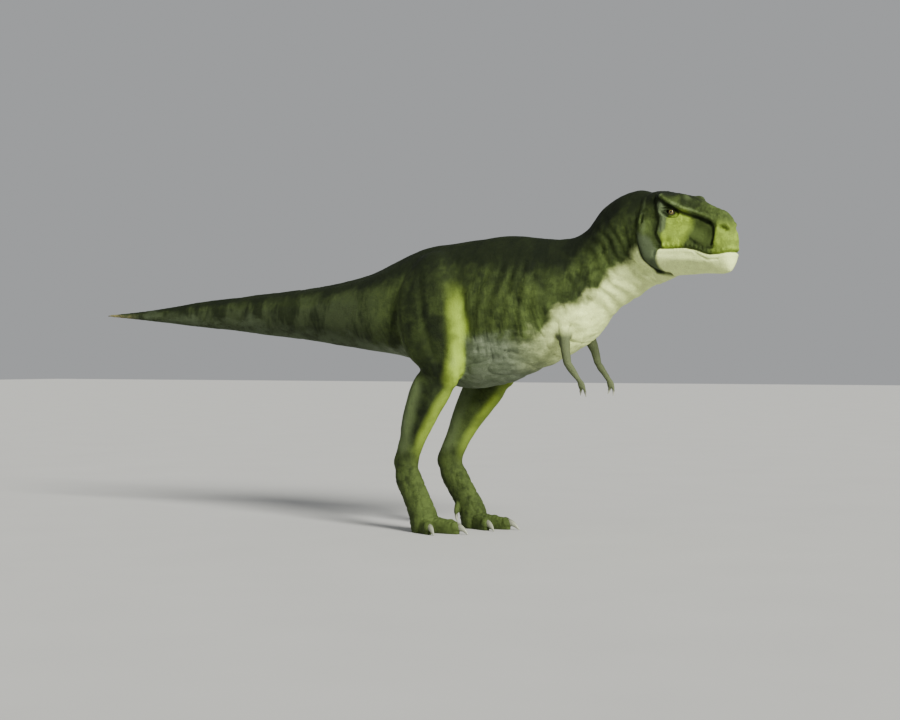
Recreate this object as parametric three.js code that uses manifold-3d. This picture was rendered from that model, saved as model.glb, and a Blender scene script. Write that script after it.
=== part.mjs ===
// A life-size adult tyrannosaur, standing still on both feet with its head turned to its right.
// Millimetres, +X forward, +Y to the animal's left, +Z up, the floor at Z = 0.
// Each body part is a closed sleeve: a cylinder whose rings are carried along a line and shaped on the way.
import * as THREE from "three";
import { mergeVertices } from "three/addons/utils/BufferGeometryUtils.js";
import Module from "manifold-3d";

const wasm = await Module();
wasm.setup();

// Driving sizes
const GAP = 0.4; // left between parts that touch
const HEAD_ORIGIN = [3420, -100, 4030]; // back of the skull, level with the corner of the mouth
const HEAD_YAW = -18; // degrees, to the animal's right
const HEAD_PITCH = -5; // degrees, nose down
const HEAD_SIDES = 26;
const HEAD_RINGS = 21;
const LEG_SPREAD = 450; // from the midline to the ankle
const ARM_SPREAD = 500; // from the midline to the elbow
const EYE_RADIUS = 56;
const EYE_PLACE = [528, 256, 480]; // in the head's own frame, for the left eye
const LIDS = { radius: 16, wide: 1.12, high: 0.84, forward: 8, out: 34, turn: 22 }; // a ring round the eye
const LEFT = new THREE.Vector3(0, 1, 0);

// How far the left leg stands ahead of the right at each height: [height, lead].
const LEAD = [[0, 335], [300, 320], [1000, 215], [1600, 270], [2200, 385], [3500, 0], [5000, 0]];

// Where the spine is parted: whole numbers are stations of the trunk table.
const TAIL_TIP_ENDS = 2.5;
const TAIL_MIDDLE_ENDS = 4.5;
const TAIL_BASE_ENDS = 6.6;
const TORSO_ENDS = 13;

// Trunk, from the tip of the tail to inside the head: spine line x, y, z, half width, reach up, reach down.
const TRUNK = [
  [-6450, 0, 3237, 12, 12, 12],
  [-5540, 0, 3228, 62, 84, 86],
  [-4490, 0, 3236, 140, 186, 204],
  [-3490, 0, 3250, 215, 250, 318],
  [-2520, 0, 3262, 292, 318, 440],
  [-1590, 0, 3276, 390, 424, 590],
  [-1050, 0, 3300, 460, 520, 695],
  [-640, 0, 3330, 520, 650, 790],
  [-170, 0, 3352, 570, 805, 940],
  [340, 0, 3330, 620, 890, 1215],
  [1000, 0, 3280, 672, 1000, 1165],
  [1650, 0, 3310, 650, 955, 905],
  [2180, 0, 3440, 560, 815, 720],
  [2500, 0, 3610, 475, 735, 540],
  [2800, -20, 3870, 415, 590, 640],
  [3100, -60, 4150, 385, 625, 690],
  [3350, -110, 4310, 350, 560, 600],
  [3560, -160, 4370, 290, 420, 480],
].map(([x, y, z, half, up, down]) => ({ x, y, z, half, up, down }));
const BACK_TAPER = 0.3; // how much narrower a trunk section is at the top

// Skin of the throat, from the front of the neck to the back of the chin.
const THROAT = [
  [2980, -40, 3720, 230, 200, 190],
  [3260, -90, 3740, 235, 210, 250],
  [3540, -165, 3770, 215, 170, 235],
  [3800, -250, 3800, 170, 110, 190],
  [4020, -320, 3800, 90, 60, 110],
].map(([x, y, z, half, up, down]) => ({ x, y, z, half, up, down }));

// Head, back to front, in its own frame: six points of a half section, from the crown down to the jaw's keel.
const HEAD = [
  { x: -60, crown: 745, brow: [215, 655], cheek: [350, 300], lip: [375, 20], jowl: [320, -190], keel: -270 },
  { x: 130, crown: 772, brow: [255, 690], cheek: [395, 330], lip: [405, 10], jowl: [350, -210], keel: -345 },
  { x: 330, crown: 760, brow: [275, 692], cheek: [385, 320], lip: [375, 0], jowl: [325, -205], keel: -365 },
  { x: 530, crown: 732, brow: [262, 664], cheek: [325, 340], lip: [320, 0], jowl: [280, -190], keel: -350 },
  { x: 740, crown: 685, brow: [195, 600], cheek: [250, 320], lip: [262, 0], jowl: [240, -175], keel: -325 },
  { x: 950, crown: 610, brow: [140, 535], cheek: [212, 290], lip: [226, -35], jowl: [208, -170], keel: -300 },
  { x: 1140, crown: 545, brow: [124, 475], cheek: [200, 240], lip: [206, -64], jowl: [184, -165], keel: -292 },
  { x: 1290, crown: 445, brow: [108, 385], cheek: [172, 190], lip: [176, -42], jowl: [152, -150], keel: -285 },
  { x: 1375, crown: 310, brow: [80, 262], cheek: [126, 135], lip: [126, -12], jowl: [108, -130], keel: -255 },
  { x: 1412, crown: 175, brow: [40, 150], cheek: [62, 90], lip: [62, 0], jowl: [52, -95], keel: -175 },
];

// Forms raised on the head or sunk into it: a line of points on the left side, its reach and its push.
const HEAD_FORMS = [
  { name: "brow edge", line: [[330, 285, 690], [520, 290, 665], [660, 235, 715]],
    reach: 62, push: [0, 28, 22] },
  { name: "brow ridge", line: [[360, 330, 690], [520, 315, 625], [690, 265, 560]],
    reach: 48, push: [0, 40, 8] },
  { name: "brow horn", line: [[650, 205, 725], [700, 195, 690]], reach: 75, push: [0, 12, 74] },
  { name: "snout ridge", line: [[690, 265, 560], [950, 200, 500], [1130, 175, 440]],
    reach: 48, push: [0, 28, 12] },
  { name: "snout front", line: [[1235, 160, 370], [1255, 180, 260], [1240, 185, 110]],
    reach: 55, push: [0, 26, 0] },
  { name: "side hollow", line: [[890, 225, 290], [1060, 210, 255]], reach: 110, push: [0, -50, 0] },
  { name: "eye hollow", line: [[500, 330, 470], [580, 310, 470]], reach: 80, push: [0, -50, 0] },
  { name: "cheek boss", line: [[430, 370, 170], [600, 320, 150]], reach: 85, push: [0, 30, 0] },
  { name: "boss behind the eye", line: [[370, 345, 560], [380, 350, 480]], reach: 62, push: [0, 30, 0] },
  { name: "jaw muscle", line: [[150, 400, 80], [260, 385, -60]], reach: 150, push: [0, 34, 0] },
  { name: "hollow behind the cheek", line: [[300, 385, 380], [290, 385, 240]], reach: 75, push: [0, -34, 0] },
  { name: "nose boss", line: [[1200, 40, 500], [1290, 50, 430]], reach: 80, push: [0, 0, 22] },
];

// Mouth line in side view, from the back of the jaw to beyond the snout.
const MOUTH_LINE = [[-400, 90], [0, 50], [210, 25], [420, 0], [740, 0], [950, -35], [1140, -64], [1290, -42]]
  .concat([[1375, -12], [1412, 0], [1600, 5]]);
const LIP_REACH = 11; // half width of the groove between the lips
const LIP_TURN = 0.3; // where the lips lie round a ring of the head
const LIP_STARTS = 2.5; // corner of the mouth, as a place in the head's table
const MOUTH_CUT = { width: 1400, reach: 1500, points: 16 }; // prisms that part the jaw from the head
const NOSTRIL = { at: [1318, 128, 300], size: [44, 34, 24] };
const EAR = { at: [150, 408, 400], size: [26, 26, 44] };

// Right leg, seen as y = distance from the midline: x, y, z, half width, reach forward, reach back.
const THIGH = [
  [20, 235, 4060, 70, 160, 150],
  [70, 375, 3790, 190, 430, 390],
  [105, 455, 3420, 262, 580, 535],
  [150, 485, 3060, 290, 560, 550],
  [220, 500, 2740, 264, 490, 500],
  [315, 500, 2460, 216, 375, 320],
  [395, 490, 2240, 182, 235, 205],
  [430, 484, 2085, 112, 105, 140],
].map(([x, y, z, half, up, down]) => ({ x, y, z, half, up, down }));
const SHANK = [
  [350, 482, 2330, 110, 130, 250],
  [270, 482, 2130, 178, 215, 400],
  [115, 480, 1900, 196, 225, 385],
  [-35, 475, 1640, 176, 208, 300],
  [-165, 462, 1370, 150, 182, 222],
  [-270, 452, 1130, 144, 186, 198],
  [-312, LEG_SPREAD, 985, 154, 208, 212],
  [-318, LEG_SPREAD, 900, 134, 168, 176],
].map(([x, y, z, half, up, down]) => ({ x, y, z, half, up, down }));
const METATARSUS = [
  [-322, LEG_SPREAD, 960, 120, 146, 150],
  [-285, LEG_SPREAD, 820, 156, 200, 200],
  [-208, LEG_SPREAD, 640, 156, 194, 196],
  [-112, LEG_SPREAD, 450, 164, 190, 200],
  [-30, LEG_SPREAD, 270, 190, 195, 205],
  [0, LEG_SPREAD, 130, 208, 190, 208],
  [0, LEG_SPREAD, -30, 178, 160, 178],
].map(([x, y, z, half, up, down]) => ({ x, y, z, half, up, down }));
const SCUTE_BANDS = 7; // raised plates across the front of the metatarsus
const SCUTE_RISE = 11;

// Toes: heading in degrees outward from straight ahead, length without claw, root half width.
const TOES = {
  toe_middle: { heading: 2, root: [70, LEG_SPREAD], length: 530, half: 98 },
  toe_inner: { heading: -27, root: [25, LEG_SPREAD - 85], length: 400, half: 88 },
  toe_outer: { heading: 38, root: [5, LEG_SPREAD + 85], length: 340, half: 84 },
};
const TOE_PADS = 3;
const TOE_TAPER = 0.32; // how much slimmer a toe is at its tip
const TOE_SWELL = 0.05; // of its width, at each pad
const TOE_END = 0.62; // its rounded tip, of its width there
const TOE_HEIGHT = { root: 128, tip: 80 }; // middle line of a toe above the floor
const TOE_CREST = 102; // from that line up to the top of the toe
const TOE_DEPTH = 150; // and down, past the floor, where the sole is cut flat
// A toe's claw, whose point rests on the floor.
const CLAW = { length: 185, sunk: 45, root: 56, tip: 5, height: 104, drop: 2.2 };
const CLAW_SLIM = 0.74; // its width over its height
const HALLUX = [
  [-160, LEG_SPREAD - 95, 400, 46, 48, 48],
  [-190, LEG_SPREAD - 150, 330, 46, 46, 46],
  [-205, LEG_SPREAD - 175, 250, 40, 38, 38],
  [-200, LEG_SPREAD - 182, 195, 26, 26, 26],
].map(([x, y, z, half, up, down]) => ({ x, y, z, half, up, down }));
const HALLUX_CLAW = [
  [-202, LEG_SPREAD - 181, 215, 22, 22, 22],
  [-196, LEG_SPREAD - 186, 150, 20, 20, 20],
  [-176, LEG_SPREAD - 192, 95, 4, 4, 4],
].map(([x, y, z, half, up, down]) => ({ x, y, z, half, up, down }));

// Right arm, in the same terms as the leg.
const UPPER_ARM = [
  [2190, 340, 3020, 80, 100, 100],
  [2235, 415, 2840, 84, 96, 96],
  [2290, 478, 2640, 62, 66, 70],
  [2325, ARM_SPREAD, 2470, 54, 56, 60],
  [2330, ARM_SPREAD, 2420, 38, 38, 42],
].map(([x, y, z, half, up, down]) => ({ x, y, z, half, up, down }));
const FOREARM = [
  [2318, ARM_SPREAD, 2480, 40, 40, 44],
  [2362, ARM_SPREAD, 2405, 50, 54, 54],
  [2432, ARM_SPREAD - 4, 2312, 44, 46, 46],
  [2492, ARM_SPREAD - 10, 2232, 36, 38, 38],
  [2512, ARM_SPREAD - 12, 2200, 30, 32, 32],
].map(([x, y, z, half, up, down]) => ({ x, y, z, half, up, down }));
const HAND = [
  [2502, ARM_SPREAD - 11, 2222, 30, 34, 34],
  [2524, ARM_SPREAD - 14, 2180, 38, 48, 48],
  [2540, ARM_SPREAD - 18, 2132, 38, 52, 52],
  [2546, ARM_SPREAD - 20, 2104, 28, 42, 42],
].map(([x, y, z, half, up, down]) => ({ x, y, z, half, up, down }));
const FINGERS = { finger_front: { shift: 26, length: 92 }, finger_back: { shift: -26, length: 78 } };
const FINGER_RADIUS = 22;
const FINGER_CLAW_TIP = 3;
const FINGER_ROOT = [2545, 2128]; // x and z of the point between the two fingers
const FINGER_SPREAD = 0.4; // how much further apart the fingers are one length down
const FINGER_CURL = { forward: 6, inward: 14 };
const FINGER_FLESH = [0, 0.8]; // shares of the finger's length
const FINGER_CLAW = [0.68, 1.5];

// Colours
const finish = (color, roughness) => new THREE.MeshStandardMaterial({ color, roughness, metalness: 0 });
const BACK_GREEN = finish(0x4a5a26, 0.75);
const LIMB_GREEN = finish(0x6d8236, 0.75);
const PALE_JAW = finish(0xdfe3b4, 0.7);
const ARM_GREY = finish(0x6f7564, 0.75);
const CLAW_HORN = finish(0xa9aa92, 0.45);
const EYE_AMBER = finish(0xb98a2a, 0.15);

// Value of a list at place u, where whole numbers are its own entries, on a smooth Catmull-Rom line.
function between(values, u) {
  const last = values.length - 1;
  const i = THREE.MathUtils.clamp(Math.floor(u), 0, last - 1);
  const f = u - i;
  const [a, b, c, d] = [i - 1, i, i + 1, i + 2].map((k) => values[THREE.MathUtils.clamp(k, 0, last)]);
  return b + 0.5 * f * (c - a + f * (2 * a - 5 * b + 4 * c - d + f * (3 * (b - c) + d - a)));
}

// All sizes of a station table at place u.
function sizesAt(stations, u) {
  const read = (key) => between(stations.map((station) => station[key]), u);
  return { half: read("half"), up: read("up"), down: read("down") };
}

// Point of a station table's line at place u.
function pointAt(stations, u) {
  const read = (key) => between(stations.map((station) => station[key]), u);
  return new THREE.Vector3(read("x"), read("y"), read("z"));
}

// A closed body along a station table. grow swells it all over, ends too, to cut room for it in a neighbour.
function sleeve(stations, { sides, rings, from = 0, to = stations.length - 1, grow = 0, taper = 0, relief }) {
  const geometry = new THREE.CylinderGeometry(1, 1, 1, sides, rings);
  const position = geometry.attributes.position;
  const last = stations.length - 1;
  const nudge = 0.02;
  for (let i = 0; i < position.count; i++) {
    const share = 0.5 - position.getY(i);
    const u = THREE.MathUtils.lerp(from, to, share);
    const along = pointAt(stations, Math.min(u + nudge, last)).sub(pointAt(stations, Math.max(u - nudge, 0)));
    along.normalize();
    const up = along.clone().cross(LEFT).normalize();
    const side = up.clone().cross(along).normalize();
    const { half, up: upward, down } = sizesAt(stations, u);
    const across = position.getX(i);
    const rise = position.getZ(i);
    const swell = relief ? relief(share, across, rise) : 0;
    const width = (half + grow + swell) * (1 - taper * Math.max(0, rise) ** 2);
    const height = (rise > 0 ? upward : down) + grow + swell;
    const point = pointAt(stations, u);
    point.addScaledVector(side, across * width).addScaledVector(up, rise * height);
    const end = share < 1e-6 ? -1 : share > 1 - 1e-6 ? 1 : 0;
    point.addScaledVector(along, end * grow);
    position.setXYZ(i, point.x, point.y, point.z);
  }
  return geometry;
}

// A geometry as a solid that can be joined and cut.
function solid(geometry) {
  const bare = geometry.clone();
  bare.deleteAttribute("normal");
  bare.deleteAttribute("uv");
  const merged = mergeVertices(bare, 1e-3);
  const vertProperties = merged.attributes.position.array;
  const triVerts = new Uint32Array(merged.index.array);
  return new wasm.Manifold(new wasm.Mesh({ numProp: 3, vertProperties, triVerts }));
}

// The largest closed surface of a solid: loose scraps and sealed hollows are left behind.
function largest(made) {
  return made.decompose().reduce((best, piece) => (piece.volume() > best.volume() ? piece : best));
}

// A named mesh of a solid.
function part(name, made, material) {
  const { numProp, vertProperties, triVerts } = largest(made).getMesh();
  const points = new Float32Array((vertProperties.length / numProp) * 3);
  for (let i = 0; i < points.length / 3; i++) {
    points.set(vertProperties.subarray(i * numProp, i * numProp + 3), i * 3);
  }
  const geometry = new THREE.BufferGeometry();
  geometry.setAttribute("position", new THREE.BufferAttribute(points, 3));
  geometry.setIndex(new THREE.BufferAttribute(triVerts, 1));
  geometry.computeVertexNormals();
  const mesh = new THREE.Mesh(geometry, material);
  mesh.name = name;
  return mesh;
}

// From the head's frame to the animal's.
const HEAD_TO_BODY = new THREE.Matrix4()
  .makeTranslation(...HEAD_ORIGIN)
  .multiply(new THREE.Matrix4().makeRotationZ(THREE.MathUtils.degToRad(HEAD_YAW)))
  .multiply(new THREE.Matrix4().makeRotationY(THREE.MathUtils.degToRad(-HEAD_PITCH)));

// Distance from a point to a line of points.
function distanceTo(line, point) {
  let nearest = Infinity;
  for (let i = 0; i < line.length - 1; i++) {
    const segment = new THREE.Line3(new THREE.Vector3(...line[i]), new THREE.Vector3(...line[i + 1]));
    const close = segment.closestPointToPoint(point, true, new THREE.Vector3());
    nearest = Math.min(nearest, close.distanceTo(point));
  }
  return nearest;
}

// Push of every head form at a point of the head's surface, in the head's frame.
function headRelief(point) {
  const mirror = point.y < 0 ? -1 : 1;
  const left = new THREE.Vector3(point.x, Math.abs(point.y), point.z);
  const moved = new THREE.Vector3();
  for (const { line, reach, push } of HEAD_FORMS) {
    const share = Math.exp(-((distanceTo(line, left) / reach) ** 2));
    moved.add(new THREE.Vector3(push[0], mirror * push[1], push[2]).multiplyScalar(share));
  }
  return moved;
}

// Point of the head's surface: u along the stations, turn from 0 at the crown round the left side.
function headPoint(u, turn) {
  const read = (pick) => between(HEAD.map(pick), u);
  const ring = [
    [0, read((s) => s.crown)],
    [read((s) => s.brow[0]), read((s) => s.brow[1])],
    [read((s) => s.cheek[0]), read((s) => s.cheek[1])],
    [read((s) => s.lip[0]), read((s) => s.lip[1])],
    [read((s) => s.jowl[0]), read((s) => s.jowl[1])],
    [0, read((s) => s.keel)],
  ];
  const closed = ring.concat(ring.slice(1, 5).reverse().map(([y, z]) => [-y, z]));
  const looped = closed.slice(-2).concat(closed, closed.slice(0, 3));
  const place = 2 + turn * closed.length;
  const y = between(looped.map((p) => p[0]), place);
  const z = between(looped.map((p) => p[1]), place);
  return new THREE.Vector3(read((s) => s.x), y, z);
}

// The whole head, jaw included, as one closed body.
function headForm(grow = 0) {
  const geometry = new THREE.CylinderGeometry(1, 1, 1, HEAD_SIDES, HEAD_RINGS);
  const position = geometry.attributes.position;
  const last = HEAD.length - 1;
  for (let i = 0; i < position.count; i++) {
    const share = 0.5 - position.getY(i);
    const u = share * last;
    const across = position.getX(i);
    const rise = position.getZ(i);
    const onRim = Math.hypot(across, rise) > 0.5;
    const turn = (Math.atan2(across, rise) / (2 * Math.PI) + 1) % 1;
    const point = onRim ? headPoint(u, turn) : headPoint(u, 0).lerp(headPoint(u, 0.5), 0.5);
    if (onRim) {
      point.add(headRelief(point));
      const outward = new THREE.Vector3(0, point.y, point.z - headPoint(u, 0).lerp(headPoint(u, 0.5), 0.5).z);
      point.addScaledVector(outward.normalize(), grow);
    }
    point.x += share < 1e-6 ? -grow : share > 1 - 1e-6 ? grow : 0;
    position.setXYZ(i, point.x, point.y, point.z);
  }
  return solid(geometry.applyMatrix4(HEAD_TO_BODY));
}

// A prism across the head on one side of the mouth line: upward when reach is positive, else downward.
function mouthSide(reach) {
  const shift = (Math.sign(reach) * GAP) / 2;
  const knots = MOUTH_LINE.map(([x, z]) => new THREE.Vector2(x, z + shift));
  const line = new THREE.SplineCurve(knots).getPoints(MOUTH_CUT.points);
  const ends = [new THREE.Vector2(MOUTH_LINE.at(-1)[0], reach), new THREE.Vector2(MOUTH_LINE[0][0], reach)];
  const outline = new THREE.Shape(line.concat(ends));
  const prism = new THREE.ExtrudeGeometry(outline, { depth: MOUTH_CUT.width, bevelEnabled: false });
  prism.rotateX(Math.PI / 2).translate(0, MOUTH_CUT.width / 2, 0);
  return solid(prism.applyMatrix4(HEAD_TO_BODY));
}

// The groove between the lips: a thin tube round the snout from one corner of the mouth to the other.
function lipGroove() {
  const steps = 9;
  const proud = 2;
  const half = [];
  for (let i = 0; i <= steps; i++) {
    const point = headPoint(THREE.MathUtils.lerp(LIP_STARTS, HEAD.length - 1, i / steps), LIP_TURN);
    point.add(headRelief(point));
    point.y += i === 0 ? LIP_REACH / 2 : proud;
    half.push(point);
  }
  const mirrored = half.map((p) => new THREE.Vector3(p.x, -p.y, p.z)).reverse();
  const tip = new THREE.Vector3(half.at(-1).x + LIP_REACH / 2, 0, half.at(-1).z);
  const path = new THREE.CatmullRomCurve3([...half, tip, ...mirrored], false, "centripetal");
  const sides = 5;
  const rim = [];
  for (let i = 0; i < sides; i++) {
    const angle = (i * 2 * Math.PI) / sides;
    rim.push(new THREE.Vector2(Math.cos(angle), Math.sin(angle)).multiplyScalar(LIP_REACH));
  }
  const options = { steps: 24, extrudePath: path, bevelEnabled: false };
  return solid(new THREE.ExtrudeGeometry(new THREE.Shape(rim), options).applyMatrix4(HEAD_TO_BODY));
}

// An egg at a place on one side of the head.
function headEgg({ at, size }, side, grow = 0) {
  const egg = new THREE.SphereGeometry(1, 10, 7).scale(size[0] + grow, size[1] + grow, size[2] + grow);
  return solid(egg.translate(at[0], side * at[1], at[2]).applyMatrix4(HEAD_TO_BODY));
}

// Upper and lower eyelid of one side, as one ring round the eye, wider than high.
function eyelids(side) {
  const lids = new THREE.TorusGeometry(EYE_RADIUS, LIDS.radius, 6, 14).rotateX(Math.PI / 2);
  lids.scale(LIDS.wide, 1, LIDS.high).rotateZ(-side * THREE.MathUtils.degToRad(LIDS.turn));
  const [x, y, z] = EYE_PLACE;
  return solid(lids.translate(x + LIDS.forward, side * (y + LIDS.out), z).applyMatrix4(HEAD_TO_BODY));
}

const eyeEgg = { at: EYE_PLACE, size: [EYE_RADIUS, EYE_RADIUS, EYE_RADIUS] };

// Lead of the left leg at a height.
function leadAt(height) {
  const next = LEAD.findIndex(([level]) => level > height);
  if (next < 1) return LEAD[0][1];
  const [low, high] = [LEAD[next - 1], LEAD[next]];
  return THREE.MathUtils.mapLinear(height, low[0], high[0], low[1], high[1]);
}

// A limb table for one side of the body, with the left leg's lead where it has one.
function onSide(stations, side, leads = false) {
  return stations.map((station) => {
    const lead = leads ? leadAt(station.z) : 0;
    return { ...station, x: station.x + lead, y: side * station.y };
  });
}

// Everything above the floor.
const aboveFloor = solid(new THREE.BoxGeometry(16000, 6000, 8000).translate(0, 0, 4000));

// Front of the metatarsus steps out in plates and back in between them.
function scuteRelief(share, across, rise) {
  const band = (share * SCUTE_BANDS) % 1;
  const plate = band > 0.25 ? 1 : 0;
  return plate * SCUTE_RISE * Math.max(0, rise) ** 1.5;
}

// A toe along the floor, swelling at each pad.
function toeTable({ heading, root, length, half }, side, lead) {
  const angle = THREE.MathUtils.degToRad(heading);
  const steps = 2 * TOE_PADS + 1;
  const table = [];
  for (let i = 0; i <= steps; i++) {
    const share = i / steps;
    const pad = 1 + TOE_SWELL * Math.cos(2 * Math.PI * TOE_PADS * share);
    const slim = (1 - TOE_TAPER * share) * pad * (i === steps ? TOE_END : 1);
    const reach = share * length;
    table.push({
      x: root[0] + lead + reach * Math.cos(angle),
      y: side * (root[1] + reach * Math.sin(angle)),
      z: THREE.MathUtils.lerp(TOE_HEIGHT.root, TOE_HEIGHT.tip, share),
      half: half * slim,
      up: TOE_CREST * slim,
      down: TOE_DEPTH,
    });
  }
  return table;
}

// A claw on the end of a toe, bent down towards the floor.
function clawTable({ heading, root, length }, side, lead) {
  const angle = THREE.MathUtils.degToRad(heading);
  const table = [];
  const steps = 4;
  for (let i = 0; i <= steps; i++) {
    const share = i / steps;
    const reach = length - CLAW.sunk + share * CLAW.length;
    const radius = CLAW.root * (1 - share) ** 0.75 + CLAW.tip;
    table.push({
      x: root[0] + lead + reach * Math.cos(angle),
      y: side * (root[1] + reach * Math.sin(angle)),
      z: CLAW.height * (1 - share ** CLAW.drop),
      half: radius * CLAW_SLIM,
      up: radius,
      down: radius,
    });
  }
  return table;
}

// All nodes of one leg, and the solid that makes room for it in the torso.
function leg(side, suffix) {
  const leads = side > 0;
  const footLead = leads ? leadAt(0) : 0;
  const thigh = onSide(THIGH, side, leads);
  const shank = onSide(SHANK, side, leads);
  const metatarsus = onSide(METATARSUS, side, leads);
  const hallux = onSide(HALLUX, side, leads);
  const halluxClaw = onSide(HALLUX_CLAW, side, leads);
  const thighShape = { sides: 16, rings: 10 };
  const shankShape = { sides: 12, rings: 9 };
  const footShape = { sides: 12, rings: SCUTE_BANDS * 3, relief: scuteRelief };
  const grownThigh = solid(sleeve(thigh, { ...thighShape, grow: GAP }));
  const grownShank = solid(sleeve(shank, { ...shankShape, grow: GAP }));
  const grownFoot = solid(sleeve(metatarsus, { ...footShape, grow: GAP }));
  const meshes = [
    part(`thigh_${suffix}`, solid(sleeve(thigh, thighShape)), LIMB_GREEN),
    part(`shank_${suffix}`, solid(sleeve(shank, shankShape)).subtract(grownThigh), LIMB_GREEN),
  ];
  const foot = solid(sleeve(metatarsus, footShape)).subtract(grownShank).intersect(aboveFloor);
  meshes.push(part(`metatarsus_${suffix}`, foot, LIMB_GREEN));
  let taken = grownFoot;
  for (const [name, toe] of Object.entries(TOES)) {
    const toeShape = { sides: 9, rings: 7 };
    const clawShape = { sides: 7, rings: 4 };
    const table = toeTable(toe, side, footLead);
    const claw = clawTable(toe, side, footLead);
    const grownClaw = solid(sleeve(claw, { ...clawShape, grow: GAP }));
    const body = solid(sleeve(table, toeShape)).subtract(taken).subtract(grownClaw).intersect(aboveFloor);
    meshes.push(part(`${name}_${suffix}`, body, LIMB_GREEN));
    const horn = solid(sleeve(claw, clawShape)).intersect(aboveFloor);
    meshes.push(part(`claw_${name}_${suffix}`, horn, CLAW_HORN));
    taken = taken.add(solid(sleeve(table, { ...toeShape, grow: GAP })));
  }
  const spurShape = { sides: 10, rings: 6 };
  const spurClaw = { sides: 8, rings: 5 };
  const spur = solid(sleeve(hallux, spurShape)).subtract(grownFoot);
  const spurCut = spur.subtract(solid(sleeve(halluxClaw, { ...spurClaw, grow: GAP })));
  meshes.push(part(`hallux_${suffix}`, spurCut, LIMB_GREEN));
  meshes.push(part(`claw_hallux_${suffix}`, solid(sleeve(halluxClaw, spurClaw)), CLAW_HORN));
  return { meshes, room: grownThigh };
}

// A finger or its claw, hanging from the end of the hand.
function fingerTable({ shift, length }, side, [start, end], radius) {
  const steps = 4;
  const table = [];
  for (let i = 0; i <= steps; i++) {
    const share = THREE.MathUtils.lerp(start, end, i / steps);
    const size = radius(i / steps);
    table.push({
      x: FINGER_ROOT[0] + shift * (1 + FINGER_SPREAD * share) + FINGER_CURL.forward * Math.sin(share * 2),
      y: side * (HAND.at(-1).y - FINGER_CURL.inward * share ** 2),
      z: FINGER_ROOT[1] - length * share,
      half: size,
      up: size,
      down: size,
    });
  }
  return table;
}

// Radius of a finger's claw along its length.
function fingerClawRadius(share) {
  return THREE.MathUtils.lerp(FINGER_RADIUS * 0.85, FINGER_CLAW_TIP, share);
}

// All nodes of one arm, and the solid that makes room for it in the torso.
function arm(side, suffix) {
  const shape = { sides: 9, rings: 6 };
  const small = { sides: 6, rings: 4 };
  const [upper, lower, hand] = [UPPER_ARM, FOREARM, HAND].map((table) => onSide(table, side));
  const grownUpper = solid(sleeve(upper, { ...shape, grow: GAP }));
  const grownLower = solid(sleeve(lower, { ...shape, grow: GAP }));
  const grownHand = solid(sleeve(hand, { ...shape, grow: GAP }));
  const meshes = [
    part(`upper_arm_${suffix}`, solid(sleeve(upper, shape)), ARM_GREY),
    part(`forearm_${suffix}`, solid(sleeve(lower, shape)).subtract(grownUpper), ARM_GREY),
    part(`hand_${suffix}`, solid(sleeve(hand, shape)).subtract(grownLower), ARM_GREY),
  ];
  for (const [name, finger] of Object.entries(FINGERS)) {
    const flesh = fingerTable(finger, side, FINGER_FLESH, () => FINGER_RADIUS);
    const claw = fingerTable(finger, side, FINGER_CLAW, fingerClawRadius);
    const grownClaw = solid(sleeve(claw, { ...small, grow: GAP }));
    const body = solid(sleeve(flesh, small)).subtract(grownHand).subtract(grownClaw);
    meshes.push(part(`${name}_${suffix}`, body, ARM_GREY));
    meshes.push(part(`claw_${name}_${suffix}`, solid(sleeve(claw, small)), CLAW_HORN));
  }
  return { meshes, room: grownUpper };
}

// Head, jaw and eyes.
function head() {
  const sockets = [1, -1].map((side) => headEgg(eyeEgg, side, GAP));
  let whole = headForm();
  for (const side of [1, -1]) whole = whole.add(eyelids(side));
  for (const side of [1, -1]) whole = whole.subtract(headEgg(NOSTRIL, side)).subtract(headEgg(EAR, side));
  for (const socket of sockets) whole = whole.subtract(socket);
  whole = whole.subtract(lipGroove());
  return [
    part("head", whole.intersect(mouthSide(MOUTH_CUT.reach)), BACK_GREEN),
    part("jaw", whole.intersect(mouthSide(-MOUTH_CUT.reach)), PALE_JAW),
    part("eye_left", headEgg(eyeEgg, 1), EYE_AMBER),
    part("eye_right", headEgg(eyeEgg, -1), EYE_AMBER),
  ];
}

// Neck, torso and the three lengths of the tail, with room cut for the head and limbs.
function trunk(rooms) {
  const shape = { sides: 22, taper: BACK_TAPER };
  const tailShape = { sides: 18, taper: BACK_TAPER };
  const seam = GAP / 500; // stations between two lengths, near enough to a gap of this width
  const run = (from, to, rings) => solid(sleeve(TRUNK, { ...shape, from, to, rings }));
  const tail = (from, to, rings) => solid(sleeve(TRUNK, { ...tailShape, from, to, rings }));
  const throat = solid(sleeve(THROAT, { sides: 14, rings: 8 }));
  const front = run(TORSO_ENDS + seam, TRUNK.length - 1, 9);
  const torso = run(TAIL_BASE_ENDS + seam, TORSO_ENDS, 15);
  const neck = front.add(throat.subtract(run(TAIL_BASE_ENDS, TORSO_ENDS + seam, 15)));
  return [
    part("neck", neck.subtract(headForm(GAP)), BACK_GREEN),
    part("torso", rooms.reduce((body, room) => body.subtract(room), torso), BACK_GREEN),
    part("tail_base", tail(TAIL_MIDDLE_ENDS + seam, TAIL_BASE_ENDS, 5), BACK_GREEN),
    part("tail_middle", tail(TAIL_TIP_ENDS + seam, TAIL_MIDDLE_ENDS, 4), BACK_GREEN),
    part("tail_tip", tail(0, TAIL_TIP_ENDS, 5), BACK_GREEN),
  ];
}

const limbs = [leg(-1, "right"), leg(1, "left"), arm(-1, "right"), arm(1, "left")];
const animal = new THREE.Group();
animal.add(...head(), ...trunk(limbs.map((limb) => limb.room)), ...limbs.flatMap((limb) => limb.meshes));

// The origin is on the floor, under the middle of the animal's box.
const middle = new THREE.Box3().setFromObject(animal).getCenter(new THREE.Vector3());
animal.position.set(-middle.x, -middle.y, 0);

export default animal;
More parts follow.
